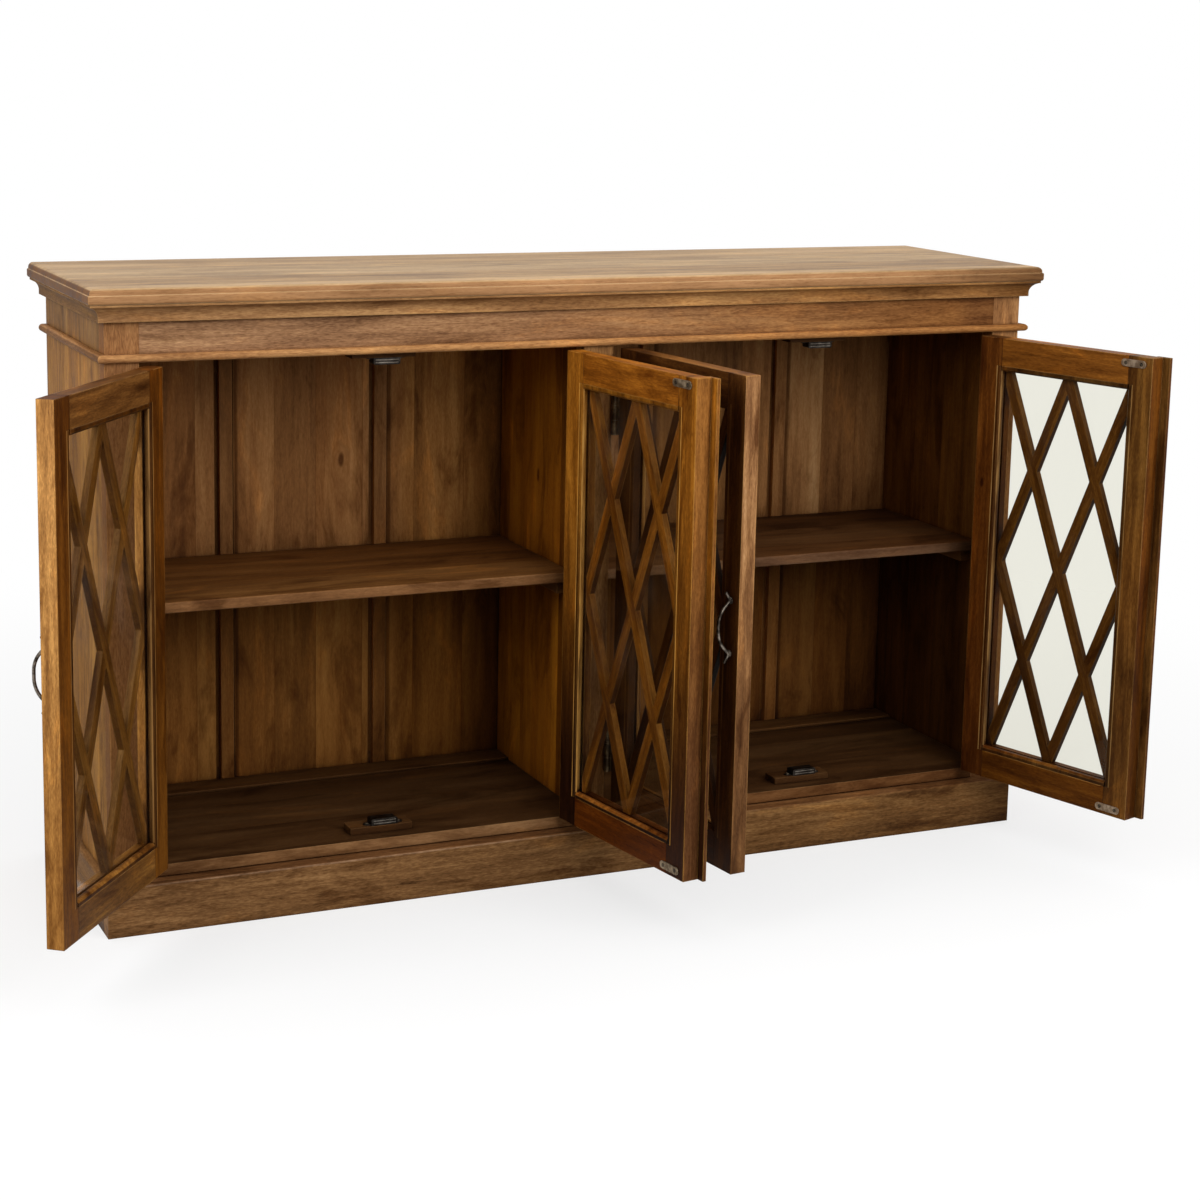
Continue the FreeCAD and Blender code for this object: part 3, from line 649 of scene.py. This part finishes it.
# How much of the light each pane lets through and how much it mirrors
CLEAR_PANE = ((0.955, 0.95, 0.905, 1.0), 0.03)
PANES = {
    "door_1": CLEAR_PANE, "door_2": ((0.955, 0.95, 0.92, 1.0), 0.045), "door_3": CLEAR_PANE,
    "door_4": ((0.916, 0.911, 0.862, 1.0), 0.006)}
SMUDGE_COLOUR, SMUDGE_SHARE = (0.75, 0.73, 0.68, 1.0), 0.02
CLOUD_SCALE, WIPE_SCALE = (9.0, 9.0, 5.0), (60.0, 60.0, 14.0)
CLOUDED, WIPED = (0.42, 0.75), (0.3, 0.7)
SMUDGE_ROUGHNESS, MIRROR_ROUGHNESS, SHEEN_POWER = 0.12, 0.02, 5.0


def glass_material(door):
    """Clear pane with a faint warm tint, a mirror sheen and a thin film of dust in smudges."""
    material, graph = new_material(door + "_pane")
    pane_tint, pane_sheen = PANES[door]
    point = closed(graph, door, "Object")
    cloud = graph.noise(point, CLOUD_SCALE, detail=4.0, roughness=0.6)
    wipe = graph.noise(point, WIPE_SCALE, detail=3.0)
    smudge = graph.times(graph.rise(cloud, *CLOUDED), graph.rise(wipe, *WIPED))
    clear = graph.output("BsdfTransparent", {"Color": pane_tint})
    blur = graph.scaled(smudge, SMUDGE_ROUGHNESS, MIRROR_ROUGHNESS)
    mirror = graph.output("BsdfGlossy", {"Roughness": blur})
    film = graph.output("BsdfDiffuse", {"Color": SMUDGE_COLOUR})
    slant = graph.math("POWER", graph.add("LayerWeight").outputs["Facing"], SHEEN_POWER)
    sheen = graph.scaled(slant, 1.0 - pane_sheen, pane_sheen)
    pane = graph.mix_shader(sheen, clear, mirror)
    dust = graph.times(smudge, SMUDGE_SHARE)
    return finished(material, graph, graph.mix_shader(dust, pane, film))


# Which finish each node takes

def dress(node, material):
    mesh = frame["nodes"][node].data
    mesh.materials.clear()
    mesh.materials.append(material)


CARCASS_SEED, DOOR_SEED, DOOR_SEED_STEP = 1, 40, 10
JOINT_REACH = 0.006
SHELF_BLEND = 0.02
SIDE_BLEND = 0.001
FRIEZE_BLEND = 0.01
# Width of the painted shadow line beside the back's strips
STRIP_SHADOW_WIDTH = 0.012
# How far in from an edge a painted shade or painted highlight starts and is full
FRIEZE_END, SLAB_NOSE, PLINTH_ARRIS, FRONT_SKIN = (0.08, 0.03), (0.012, 0.004), (0.004, 0.002), (0.002, 0.0)
# Painted highlight along the plinth's front arris
ARRIS_HIGHLIGHT = (1.28, 1.5, 2.2)
ALONG_X, ALONG_Y, ALONG_Z = [partial(straight_grain, order) for order in ("XZY", "YZX", "ZXY")]
FLAT, UPRIGHT, CROSSWISE = [partial(straight_grain, order) for order in ("XYZ", "ZYX", "YXZ")]

# Stretches of the front: an axis, and where on it a painted shade or painted highlight starts and where it
# is full
RIGHT_BAY, LEFT_BAY = ("X", 0, 0.05), ("X", 0.05, 0)
BY_DIVIDER, IN_CORNER = ("X", -0.21, -0.15), ("X", -0.1, -0.03)
SLAB_TIP, MOULDING_TIP, PLINTH_TIP = ("X", 0.5, 0.76), ("X", 0.63, 0.74), ("X", 0.66, 0.74)
ARRIS_HIGHLIGHT_STRETCH = ("X", 0.5, -0.2)
END_X, SHELF_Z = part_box("right_post")[1].x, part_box("left_shelf")[0].z
# Painted shade that deepens towards the right end, where the light falls off
SHADE_TO_RIGHT = ("X", END_X, -END_X)
ABOVE_SHELF = ("Z", SHELF_Z - SHELF_BLEND, SHELF_Z + SHELF_BLEND)
BELOW_SHELF = ("Z", SHELF_Z + SHELF_BLEND, SHELF_Z - SHELF_BLEND)


def inside_edge(axis, edge, insets, direction):
    """Where on an axis a painted shade or painted highlight comes up before an edge that looks in the
    direction.
    """
    return (axis, *(edge - direction * inset for inset in insets))


def board(space, stain, **finish):
    return space, stain, finish


def outer_boards():
    frieze_low, frieze_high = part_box("frieze_board")
    corner = partial(moulding_grain, END_X, frieze_low.y)
    post_joint = partial(beside_rails, 0, frieze_high.x + JOINT_REACH, 0, frieze_low.z)
    frieze_joint = partial(beyond_width, 0, frieze_high.x - JOINT_REACH)
    frieze_end = inside_edge("X", frieze_high.x, FRIEZE_END, 1)
    slab_nose = inside_edge("Y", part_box("top_slab")[0].y, SLAB_NOSE, -1)
    above_bead = ("Z", frieze_low.z - FRIEZE_BLEND, frieze_low.z + FRIEZE_BLEND)
    return {
        # The ends are darker, end grain deepened with painted shade, and the nose gets painted shade towards
        # the right tip
        "top_slab": board(
            FLAT, "top", planks=(0.13, 0.3), tint=(1.04, 1.02, 0.95),
            faces=[("Y", 0, (0.78, 0.6, 0.46)), ("X", 0, (0.33, 0.18, 0.03))],
            shades=[((0.44, 0.4, 0.33), SLAB_TIP, slab_nose)]),
        # Painted shade: darker towards the right, on the returns and at the right tip
        "bed_moulding": board(
            corner, "front", tint=(1.14, 1.18, 1.12), fade=((0.82, 0.75, 0.55), *SHADE_TO_RIGHT),
            faces=[("X", 0, (0.58, 0.55, 0.38))], shades=[((0.5, 0.44, 0.36), MOULDING_TIP)]),
        # Painted shade: darker towards the right, on the returns and at the right tip
        "bead_moulding": board(
            corner, "front", tint=(1.22, 1.18, 1.05), fade=((0.85, 0.7, 0.48), *SHADE_TO_RIGHT),
            faces=[("X", 0, (0.62, 0.56, 0.46))], shades=[((0.7, 0.66, 0.6), MOULDING_TIP)]),
        # Painted shade: darker towards the right and at the right end
        "frieze_board": board(
            ALONG_X, "front", tint=(1.18, 1.28, 1.46), fade=((0.66, 0.53, 0.34), *SHADE_TO_RIGHT),
            shades=[((0.74, 0.72, 0.78), frieze_end)], joint=frieze_joint),
        "left_post": board(
            ALONG_Z, "even", tint=(1.0, 0.93, 0.82), joint=post_joint, faces=[("X", 0, (0.72, 0.6, 0.42))]),
        "right_post": board(
            ALONG_Z, "front", tint=(0.97, 0.92, 0.8), joint=post_joint, faces=[("X", 0, (0.6, 0.48, 0.3))]),
        # Painted shade on the inner side facing the bay; the band beside the frieze is darker
        "left_side_panel": board(
            UPRIGHT, "side", planks=(0.086, 0.2), tint=(0.7, 0.7, 0.72),
            fade=((1.0, 0.93, 0.76), *above_bead), faces=[("X", 1, (0.45, 0.36, 0.24))]),
        # Painted shade on the inner side, deeper below the shelf
        "right_side_panel": board(
            UPRIGHT, "side", planks=(0.086, 0.25), tint=(1.08, 1.04, 0.9),
            fade=((1.08, 1.04, 0.9), *ABOVE_SHELF),
            faces=[("X", -1, (0.34, 0.25, 0.15), (0.17, 0.12, 0.08))]),
        "centre_stile": board(ALONG_Z, "front", tint=(0.8, 0.75, 0.6)),
    }


def inner_boards():
    panel_low, panel_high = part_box("back_panels")
    sill = inside_edge("Y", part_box("bottom_panel")[0].y, FRONT_SKIN, -1)
    panel_middle = (panel_low.y + panel_high.y) / 2
    inside = ("Y", panel_middle + SIDE_BLEND, panel_middle - SIDE_BLEND)
    return {
        "divider_panel": board(
            UPRIGHT, "inner", planks=(0.13, 0.4), tint=(1.15, 0.85, 0.17), knots=[(0.575, 0.008, 0.006)]),
        "top_stretcher": board(FLAT, "inner"),
        "back_rails": board(ALONG_X, "inner"),
        # Painted light and shade: the fronts darker below the shelf, the left sides lightened
        "back_muntins": board(
            ALONG_Z, "inner", fade=((1, 1, 1), *ABOVE_SHELF), faces=[
                ("Y", -1, (1.1, 1.1, 1.1), (0.9, 0.8, 0.55)), ("X", -1, (3.0, 2.8, 2.4), (3.0, 2.8, 2.4))],
            dirty=False),
        # Painted light and shade on the inner face: darker below the shelf, in the right bay and in the
        # corner by the divider, lighter above the shelf beside the divider
        "back_panels": board(
            ALONG_Z, "inner", planks=(0.072, 0.24), fade=((1, 1, 1), *ABOVE_SHELF),
            faces=[("Y", -1, (1.46, 1.48, 1.5), (1.12, 1.02, 0.66))], shades=[
                ((0.5, 0.46, 0.42), inside, RIGHT_BAY, BELOW_SHELF),
                ((0.87, 0.9, 0.95), inside, RIGHT_BAY, ABOVE_SHELF),
                ((0.8, 0.74, 0.56), inside, BY_DIVIDER, LEFT_BAY, BELOW_SHELF),
                ((1.18, 1.17, 0.95), inside, BY_DIVIDER, LEFT_BAY, ABOVE_SHELF),
                ((0.5, 0.44, 0.36), inside, IN_CORNER, LEFT_BAY, BELOW_SHELF),
                ((0.72, 0.66, 0.55), inside, IN_CORNER, LEFT_BAY, ABOVE_SHELF)],
            grimy=partial(right_of_strips, "back_muntins", STRIP_SHADOW_WIDTH), knots=[(0.586, -0.276, 0.006)]),
        # Painted shade on the top face, and on the front edge in the right bay
        "bottom_panel": board(
            FLAT, "inner", planks=(0.15, 0.12), tint=(1.4, 1.62, 2.1), faces=[("Z", 1, (0.29, 0.28, 0.28))],
            shades=[((0.58, 0.48, 0.38), RIGHT_BAY, sill)]),
        "floor_battens": board(FLAT, "inner", tint=(0.42, 0.4, 0.36)),
        # Painted shade on the shelves' tops, and over the whole right shelf in the right bay
        "left_shelf": board(
            FLAT, "inner", planks=(0.14, 0.2), tint=(1.35, 1.45, 1.75), faces=[("Z", 1, (0.92, 0.86, 0.7))]),
        "right_shelf": board(
            FLAT, "inner", planks=(0.14, 0.2), tint=(0.52, 0.58, 0.9), faces=[("Z", 1, (0.4, 0.35, 0.33))]),
        "shelf_cleats": board(ALONG_Y, "inner"),
    }


def lower_boards():
    plinth_low, plinth_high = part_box("plinth_front")
    arris = (
        inside_edge("Z", plinth_high.z, PLINTH_ARRIS, 1), inside_edge("Y", plinth_low.y, FRONT_SKIN, -1))
    return {
        # Painted light and shade: darker to the right and at the right end, a shaded ledge on top, and a
        # painted highlight along the front arris
        "plinth_front": board(
            ALONG_X, "plinth", tint=(1.08, 1.12, 1.22), fade=((0.76, 0.76, 0.72), *SHADE_TO_RIGHT),
            faces=[("Z", 1, (0.68, 0.62, 0.64))],
            shades=[((0.66, 0.62, 0.56), PLINTH_TIP), (ARRIS_HIGHLIGHT, ARRIS_HIGHLIGHT_STRETCH, *arris)]),
        "plinth_returns": board(ALONG_Y, "plinth"),
        "front_bearer": board(ALONG_X, "inner"),
        "rear_bearer": board(ALONG_X, "inner"),
        "centre_bearer": board(CROSSWISE, "inner"),
        "stop_blocks": board(FLAT, "inner", tint=(0.36, 0.34, 0.32)),
    }


def dress_woods(body, boards, first_seed):
    for seed, (node, (space, stain, finish)) in enumerate(boards.items(), start=first_seed):
        if node in frame["nodes"]:
            dress(node, wood_material(node + "_wood", body, space, stain, seed, finish))


# The stain on the outer side of every door, and the tints of each inner side at the head and at the foot.
# On the inner sides these are largely painted light and shade: lighter above, darker towards the foot, edges
# painted lit or shaded, and a painted highlight on the sill.
EVEN_TINT = (0.92, 0.88, 0.78)
DOOR_TINTS = {
    "door_1": dict(
        stiles=((0.44, 0.33, 0.14), (0.48, 0.4, 0.2)), rails=((0.55, 0.53, 0.52), (0.74, 0.8, 0.78)),
        lattice=((0.62, 0.62, 0.56), (0.62, 0.62, 0.56)), edges=((2.75, 3.4, 4.6), (1.38, 1.46, 1.48)),
        sill=(0.9, 0.9, 0.75)),
    "door_2": dict(
        stiles=((1.36, 1.2, 0.5), (0.12, 0.09, 0.12)), rails=((1.15, 0.92, 0.36), (0.5, 0.3, 0.1)),
        lattice=((1.0, 0.86, 0.4), (0.8, 0.7, 0.36)), edges=((0.9, 0.86, 0.76), (0.4, 0.38, 0.56)),
        sill=(0.8, 0.62, 0.36)),
    "door_3": dict(
        stiles=(EVEN_TINT, EVEN_TINT), rails=(EVEN_TINT, EVEN_TINT),
        lattice=((0.6, 0.56, 0.45), (0.6, 0.56, 0.45)), edges=((1.12, 1.32, 2.3), (0.92, 1.08, 1.8)),
        sill=(0.5, 0.45, 0.35)),
    "door_4": dict(
        stiles=((0.52, 0.53, 0.42), (0.44, 0.43, 0.38)), rails=((0.96, 0.84, 0.48), (0.4, 0.3, 0.13)),
        lattice=((0.56, 0.52, 0.42), (0.5, 0.46, 0.38)), edges=((0.4, 0.31, 0.17), (0.27, 0.21, 0.13)),
        sill=(0.5, 0.42, 0.26)),
}
# Painted shade on the hinge side of a door's inner face
HINGE_SIDE_SHADE = {"door_4": (0.82, 0.56, 0.36)}
HINGE_SIDE_KNOTS = [(0.565, -0.016, 0.0045)]
GOLDEN_PATCH = (1.4, 1.36, 1.3)
GOLDEN_SPANS = [("X", -0.2, -0.26), ("Z", 0.3, 0.44), ("Z", 0.62, 0.5)]
BEAD_SHARE = 0.55
LIP_SHARE = 0.75
# How squarely a bead's top must face up to take the painted highlight on the sill
SILL_FACING = (0.35, 0.6)
# Painted shade on a door's face where another door stands close before it
CLOSE_PIECE_SHADES = {"door_3": (0.19, 0.15, 0.125)}
# Shares of the stain on a lattice bar's upper side, lightened as painted light, and its lower side, darkened
# as painted shade
LIT_UPPER_SIDE = (0.85, 0.95, 1.3)
SHADED_LOWER_SIDE = (0.26, 0.22, 0.15)
SHADED_LOWER_SIDE_BY_DOOR = {"door_1": (0.6, 0.56, 0.48)}
LATTICE_FACING = (0.15, 0.3)
LATTICE_WEARING, BEAD_WEARING = 0.4, 0.5


def inner_stile_marks(door, middle):
    """What the inner side of a door's stiles has besides its stain: painted shade on the hinge side, a
    lighter patch and a knot.
    """
    if door not in HINGE_SIDE_SHADE:
        return {}
    low, high = corners_of(closed_points(door, "stiles"))
    stile_middle = (low.y + high.y) / 2
    inside = ("Y", stile_middle - SIDE_BLEND, stile_middle + SIDE_BLEND)
    hinge_side = (HINGE_SIDE_SHADE[door], inside, ("X", middle, 0))
    return {"shades": [hinge_side, (GOLDEN_PATCH, inside, *GOLDEN_SPANS)], "knots": HINGE_SIDE_KNOTS}


def door_woods(door):
    """Grain space and finish of each wooden piece of a door."""
    tints, sheltered = DOOR_TINTS[door], {"sheltered": CLOSE_PIECE_SHADES.get(door)}
    low, high = corners_of(closed_points(door, "lattice"))
    beads = corners_of(closed_points(door, "glazing_beads"))
    middle, half_width = (low.x + high.x) / 2, (high.x - low.x) / 2
    stile_marks = inner_stile_marks(door, middle)

    def stained(space, piece, share=1.0, **finish):
        head, foot = [tuple(value * share for value in tint) for tint in tints[piece]]
        return board(space, "door", tint=head, fade=(foot, "Z", low.z, high.z), **finish)

    def bar_side(direction, share):
        tint = tuple(value * part for value, part in zip(tints["lattice"][0], share))
        return ("Z", direction, tint)

    even = ("Y", -1, EVEN_TINT)
    # The edges take painted light or shade from the edge tints
    edges = [even, ("X", 0, *tints["edges"])]
    bar_sides = [bar_side(1, LIT_UPPER_SIDE), bar_side(-1, SHADED_LOWER_SIDE_BY_DOOR.get(door, SHADED_LOWER_SIDE)), even]
    rail_ends = partial(beyond_width, middle, half_width - JOINT_REACH)
    stile_joint = partial(
        beside_rails, middle, half_width + 2 * JOINT_REACH, low.z - JOINT_REACH, high.z + JOINT_REACH)
    woods = {
        "stiles": stained(
            ALONG_Z, "stiles", **stile_marks, **sheltered, faces=edges, joint=stile_joint,
            rubbed=partial(beside_opening, *beads)),
        "rails": stained(ALONG_X, "rails", **sheltered, faces=[even], joint=rail_ends),
        "lattice": stained(
            partial(lattice_grain, low, high), "lattice", **sheltered, faces=bar_sides,
            facing=LATTICE_FACING, wearing=LATTICE_WEARING, dirty=False),
        # The beads' top faces take a painted highlight
        "glazing_beads": stained(
            ALONG_Z, "stiles", BEAD_SHARE, **stile_marks, faces=[("Z", 1, tints["sill"])],
            facing=SILL_FACING, rubbed=partial(beside_opening, low, high), wearing=BEAD_WEARING),
        "lip": stained(ALONG_Z, "stiles", LIP_SHARE, **stile_marks, faces=edges),
    }
    return {door + "_" + piece: wood for piece, wood in woods.items()}


def dress_door(door, seed):
    dress_woods(door, door_woods(door), seed)
    dress(door + "_glass", glass_material(door))


def dress_metal():
    handle, hinge = metal_material("antique"), metal_material("hinge")
    for node in frame["nodes"]:
        if node.endswith("_handle"):
            dress(node, handle)
        elif "hinge_" in node:
            dress(node, hinge)
    dress("catches", metal_material("catch"))
    dress("door_2_strike_plates", metal_material("dull_strike"))
    dress("door_4_strike_plates", metal_material("bright_strike"))


# Small fittings

SCREW_SIDES = 32
SCREW_SUNK = 0.0004
SLOT_SHARE = 0.13
# Radius and height of each kind of screw head
HINGE_SCREW = (0.0034, 0.00018)
STRIKE_SCREW = (0.0029, 0.0005)
EAR_SCREW = (0.0026, 0.0009)
# Shares of that height: the disc, its chamfer and the chamfer of the half rounds
DISC_SHARE, DISC_CHAMFER, HALF_ROUND_CHAMFER = 0.4, 0.1, 0.5
MIDDLE_SCREW_DEPTH, OUTER_SCREW_DEPTH = 0.5, 0.72
# Turn of the slots: degrees per screw and per door on the hinges, radians elsewhere
SLOT_TURN, DOOR_SLOT_TURN = 35, 50
STRIKE_SLOT_TURN, EAR_SLOT_TURN = 0.6, 0.9
STRIKE_HOLE = 0.014
EAR_LENGTH, EAR_WIDTH, EAR_THICKNESS = 0.010, 0.011, 0.0016
EAR_CHAMFER, EAR_LAP = 0.0004, 0.001
STRIP_MARGIN, STRIP_HEIGHT, STRIP_PROUD = 0.003, 0.0016, 0.0008
STRIP_CHAMFER = 0.3
STRIP_SHARES = (0.3, 0.7)


def add_prism(mesh, outline, bottom, top, chamfer, place):
    """Adds a closed prism over a flat outline, with a chamfer round its top."""
    centre = sum(outline, Vector((0, 0))) / len(outline)
    rings = []
    for height, inset in ((bottom, 0), (top - chamfer, 0), (top, chamfer)):
        corners = [corner + (centre - corner).normalized() * inset for corner in outline]
        rings.append([mesh.verts.new(place @ Vector((*corner, height))) for corner in corners])
    mesh.faces.new(reversed(rings[0]))
    mesh.faces.new(rings[-1])
    for lower, upper in zip(rings, rings[1:]):
        for index in range(len(outline)):
            after = (index + 1) % len(outline)
            mesh.faces.new((lower[index], lower[after], upper[after], upper[index]))


def arc(radius, start, end, steps, centre=(0, 0)):
    angles = [start + (end - start) * step / steps for step in range(steps + 1)]
    return [Vector((centre[0] + radius * math.cos(a), centre[1] + radius * math.sin(a))) for a in angles]


def standing_on(point, normal, turn=0.0):
    """Places flat outlines on a surface, at a point and along its normal."""
    return (Matrix.Translation(point) @ Vector(normal).to_track_quat("Z", "Y").to_matrix().to_4x4()
            @ Matrix.Rotation(turn, 4, "Z"))


def add_screw(mesh, place, size):
    """Adds a slotted screw head: a low disc with two half rounds on it."""
    radius, height = size
    half_slot = math.asin(SLOT_SHARE)
    disc = arc(radius, 0, 2 * math.pi, SCREW_SIDES)[:-1]
    add_prism(mesh, disc, -SCREW_SUNK, height * DISC_SHARE, height * DISC_CHAMFER, place)
    for turn in (0, math.pi):
        half_round = arc(radius, turn + half_slot, turn + math.pi - half_slot, SCREW_SIDES // 2)
        add_prism(mesh, half_round, 0, height, height * HALF_ROUND_CHAMFER, place)


def add_piece(name, body, mesh, material):
    bmesh.ops.recalc_face_normals(mesh, faces=mesh.faces)
    data = bpy.data.meshes.new(name)
    mesh.to_mesh(data)
    mesh.free()
    data.materials.append(material)
    piece = add_object(name, data)
    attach(piece, body)


def upper_and_lower(points):
    """Parts the points of an upper and a lower fitting."""
    low, high = corners_of(points)
    middle = (low.z + high.z) / 2
    return [[point for point in points if (point.z > middle) == above] for above in (True, False)]


def add_hinge_screws(material):
    """Three screws in each hinge leaf, on the doors and on the posts beside them."""
    fixed = bmesh.new()
    for number, door in enumerate(sorted(DOOR_TURNS)):
        moving, place = bmesh.new(), rest_place(door)
        for points in upper_and_lower(closed_points(door, "hinge_leaves")):
            deepest = max(point.y for point in points)
            low, high = corners_of([point for point in points if point.y > deepest / 2])
            side = 1 if low.x + high.x > 0 else -1
            face_x = side * min(abs(low.x), abs(high.x))
            for step in (-1, 0, 1):
                y = deepest * (OUTER_SCREW_DEPTH if step else MIDDLE_SCREW_DEPTH)
                z = (low.z + high.z) / 2 + step * (high.z - low.z) / 3
                turn = math.radians(SLOT_TURN * step + DOOR_SLOT_TURN * number)
                on_door = standing_on((face_x, y, z), (-side, 0, 0), turn)
                on_post = standing_on((-face_x, y, z), (side, 0, 0), -turn)
                add_screw(moving, place @ on_door, HINGE_SCREW)
                add_screw(fixed, Matrix.Translation(place.translation) @ on_post, HINGE_SCREW)
        add_piece(door + "_hinge_screws", door, moving, material)
    add_piece("hinge_screws", "cabinet", fixed, material)


def add_strike_screws(door, material):
    mesh = bmesh.new()
    for points in upper_and_lower(closed_points(door, "strike_plates")):
        low, high = corners_of(points)
        for side in (-1, 1):
            point = ((low.x + high.x) / 2 + side * STRIKE_HOLE, high.y, (low.z + high.z) / 2)
            place = standing_on(point, (0, 1, 0), side * STRIKE_SLOT_TURN)
            add_screw(mesh, rest_place(door) @ place, STRIKE_SCREW)
    add_piece(door + "_strike_screws", door, mesh, material)


def ear_outline(side):
    """A tab beside a catch with a round outer end."""
    half = EAR_WIDTH / 2
    outer = arc(half, -math.pi / 2, math.pi / 2, SCREW_SIDES // 2, (EAR_LENGTH - half, 0))
    outline = [Vector((-EAR_LAP, -half))] + outer + [Vector((-EAR_LAP, half))]
    if side < 0:
        outline = [Vector((-corner.x, corner.y)) for corner in reversed(outline)]
    return outline


def add_ears(ears, screws, above, low, high):
    """A tab with a screw on each side of a catch."""
    seat_z, up = (high.z, -1) if above else (low.z, 1)
    y = (low.y + high.y) / 2
    for side, x in ((-1, low.x), (1, high.x)):
        place = Matrix.Translation((x, y, seat_z))
        if above:
            place = place @ Matrix.Rotation(math.pi, 4, "X")
        add_prism(ears, ear_outline(side), 0, EAR_THICKNESS, EAR_CHAMFER, place)
        point = (x + side * (EAR_LENGTH - EAR_WIDTH / 2), y, seat_z + up * EAR_THICKNESS)
        add_screw(screws, standing_on(point, (0, 0, up), side * EAR_SLOT_TURN), EAR_SCREW)


def add_strips(strips, low, high):
    """The edges of two steel plates on a catch's front."""
    x, y = (high.x - low.x) / 2 - STRIP_MARGIN, STRIP_HEIGHT / 2
    outline = [Vector(corner) for corner in ((-x, -y), (x, -y), (x, y), (-x, y))]
    for share in STRIP_SHARES:
        point = ((low.x + high.x) / 2, low.y, low.z + (high.z - low.z) * share)
        place = Matrix.Translation(point) @ Matrix.Rotation(math.pi / 2, 4, "X")
        add_prism(strips, outline, -STRIP_PROUD, STRIP_PROUD, STRIP_PROUD * STRIP_CHAMFER, place)


def add_catch_fittings(steel, screw):
    ears, screws, strips = bmesh.new(), bmesh.new(), bmesh.new()
    cases = frame["nodes"]["catches"].data
    points = [vertex.co for vertex in cases.vertices]
    for bay in ([p for p in points if p.x < 0], [p for p in points if p.x > 0]):
        for above, group in zip((True, False), upper_and_lower(bay)):
            low, high = corners_of(group)
            add_ears(ears, screws, above, low, high)
            add_strips(strips, low, high)
    add_piece("catch_ears", "cabinet", ears, cases.materials[0])
    add_piece("catch_screws", "cabinet", screws, screw)
    add_piece("catch_strips", "cabinet", strips, steel)


def add_fittings():
    screw, strike_screw = metal_material("screw"), metal_material("strike_screw")
    add_hinge_screws(screw)
    for door in ("door_2", "door_4"):
        add_strike_screws(door, strike_screw)
    add_catch_fittings(metal_material("catch_plate"), screw)


# Stage

def add_camera():
    turn = (Matrix.Rotation(-CAMERA_YAW, 4, "Z") @ Matrix.Rotation(math.pi / 2 - CAMERA_PITCH, 4, "X")
            @ Matrix.Rotation(-CAMERA_ROLL, 4, "Z"))
    data = bpy.data.cameras.new("camera")
    data.lens = CAMERA_LENS
    data.sensor_width = CAMERA_SENSOR
    data.shift_x, data.shift_y = CAMERA_SHIFT
    camera = add_object("camera", data)
    camera.matrix_world = Matrix.Translation(CAMERA_PLACE) @ turn
    bpy.context.scene.camera = camera


def seen_directly(graph):
    """1 for rays that show the background itself, 0 for rays that only carry light."""
    path = graph.add("LightPath")
    mirrored = graph.math("MAXIMUM", path.outputs["Is Glossy Ray"], path.outputs["Is Transmission Ray"])
    return graph.math("MAXIMUM", path.outputs["Is Camera Ray"], mirrored)


def add_world():
    world = bpy.data.worlds.new("studio")
    bpy.context.scene.world = world
    world.use_nodes = True
    graph = Graph(world.node_tree)
    upward = graph.parts(graph.add("TexCoord").outputs["Generated"])[2]
    height = graph.math("MAXIMUM", upward, 0.0)
    dome = graph.scaled(height, ZENITH_STRENGTH - HORIZON_STRENGTH, HORIZON_STRENGTH)
    strength = graph.choose(seen_directly(graph), dome, 1.0)
    graph.fill(world.node_tree.nodes["Background"], {"Color": WHITE, "Strength": strength})


def add_floor():
    """Pale floor that looks white in the open and keeps a soft shadow under the object."""
    half = FLOOR_REACH
    mesh = bpy.data.meshes.new("floor")
    corners = [(-half, -half, 0), (half, -half, 0), (half, half, 0), (-half, half, 0)]
    mesh.from_pydata(corners, [], [(0, 1, 2, 3)])
    floor = add_object("floor", mesh)
    material, graph = new_material("floor_paper")
    glow = graph.output("Emission", {"Color": WHITE})
    paper = graph.output("BsdfDiffuse", {"Color": FLOOR_PAPER})
    bounce = graph.output("BsdfDiffuse", {"Color": FLOOR_BOUNCE})
    reach = graph.vector_math("LENGTH", graph.add("TexCoord").outputs["Object"])
    shown = graph.mix_shader(graph.rise(reach, SHADOW_NEAR, SHADOW_FAR, SHADOW_SHARE, 0.0), glow, paper)
    surface = graph.mix_shader(seen_directly(graph), bounce, shown)
    mesh.materials.append(finished(material, graph, surface))


def add_lamp(name, place, target, size, power):
    data = bpy.data.lights.new(name, "AREA")
    data.shape = "RECTANGLE"
    data.size, data.size_y = size
    data.energy = power
    lamp = add_object(name, data)
    lamp.location = place
    lamp.rotation_euler = (Vector(target) - Vector(place)).to_track_quat("-Z", "Y").to_euler()


add_camera()
add_world()
add_floor()
for lamp in LAMPS:
    add_lamp(*lamp)
dress_woods("cabinet", {**outer_boards(), **inner_boards(), **lower_boards()}, CARCASS_SEED)
for number, door in enumerate(sorted(DOOR_TURNS), start=1):
    dress_door(door, DOOR_SEED + DOOR_SEED_STEP * number)
dress_metal()
add_fittings()
bpy.context.scene.view_settings.view_transform = "Standard"
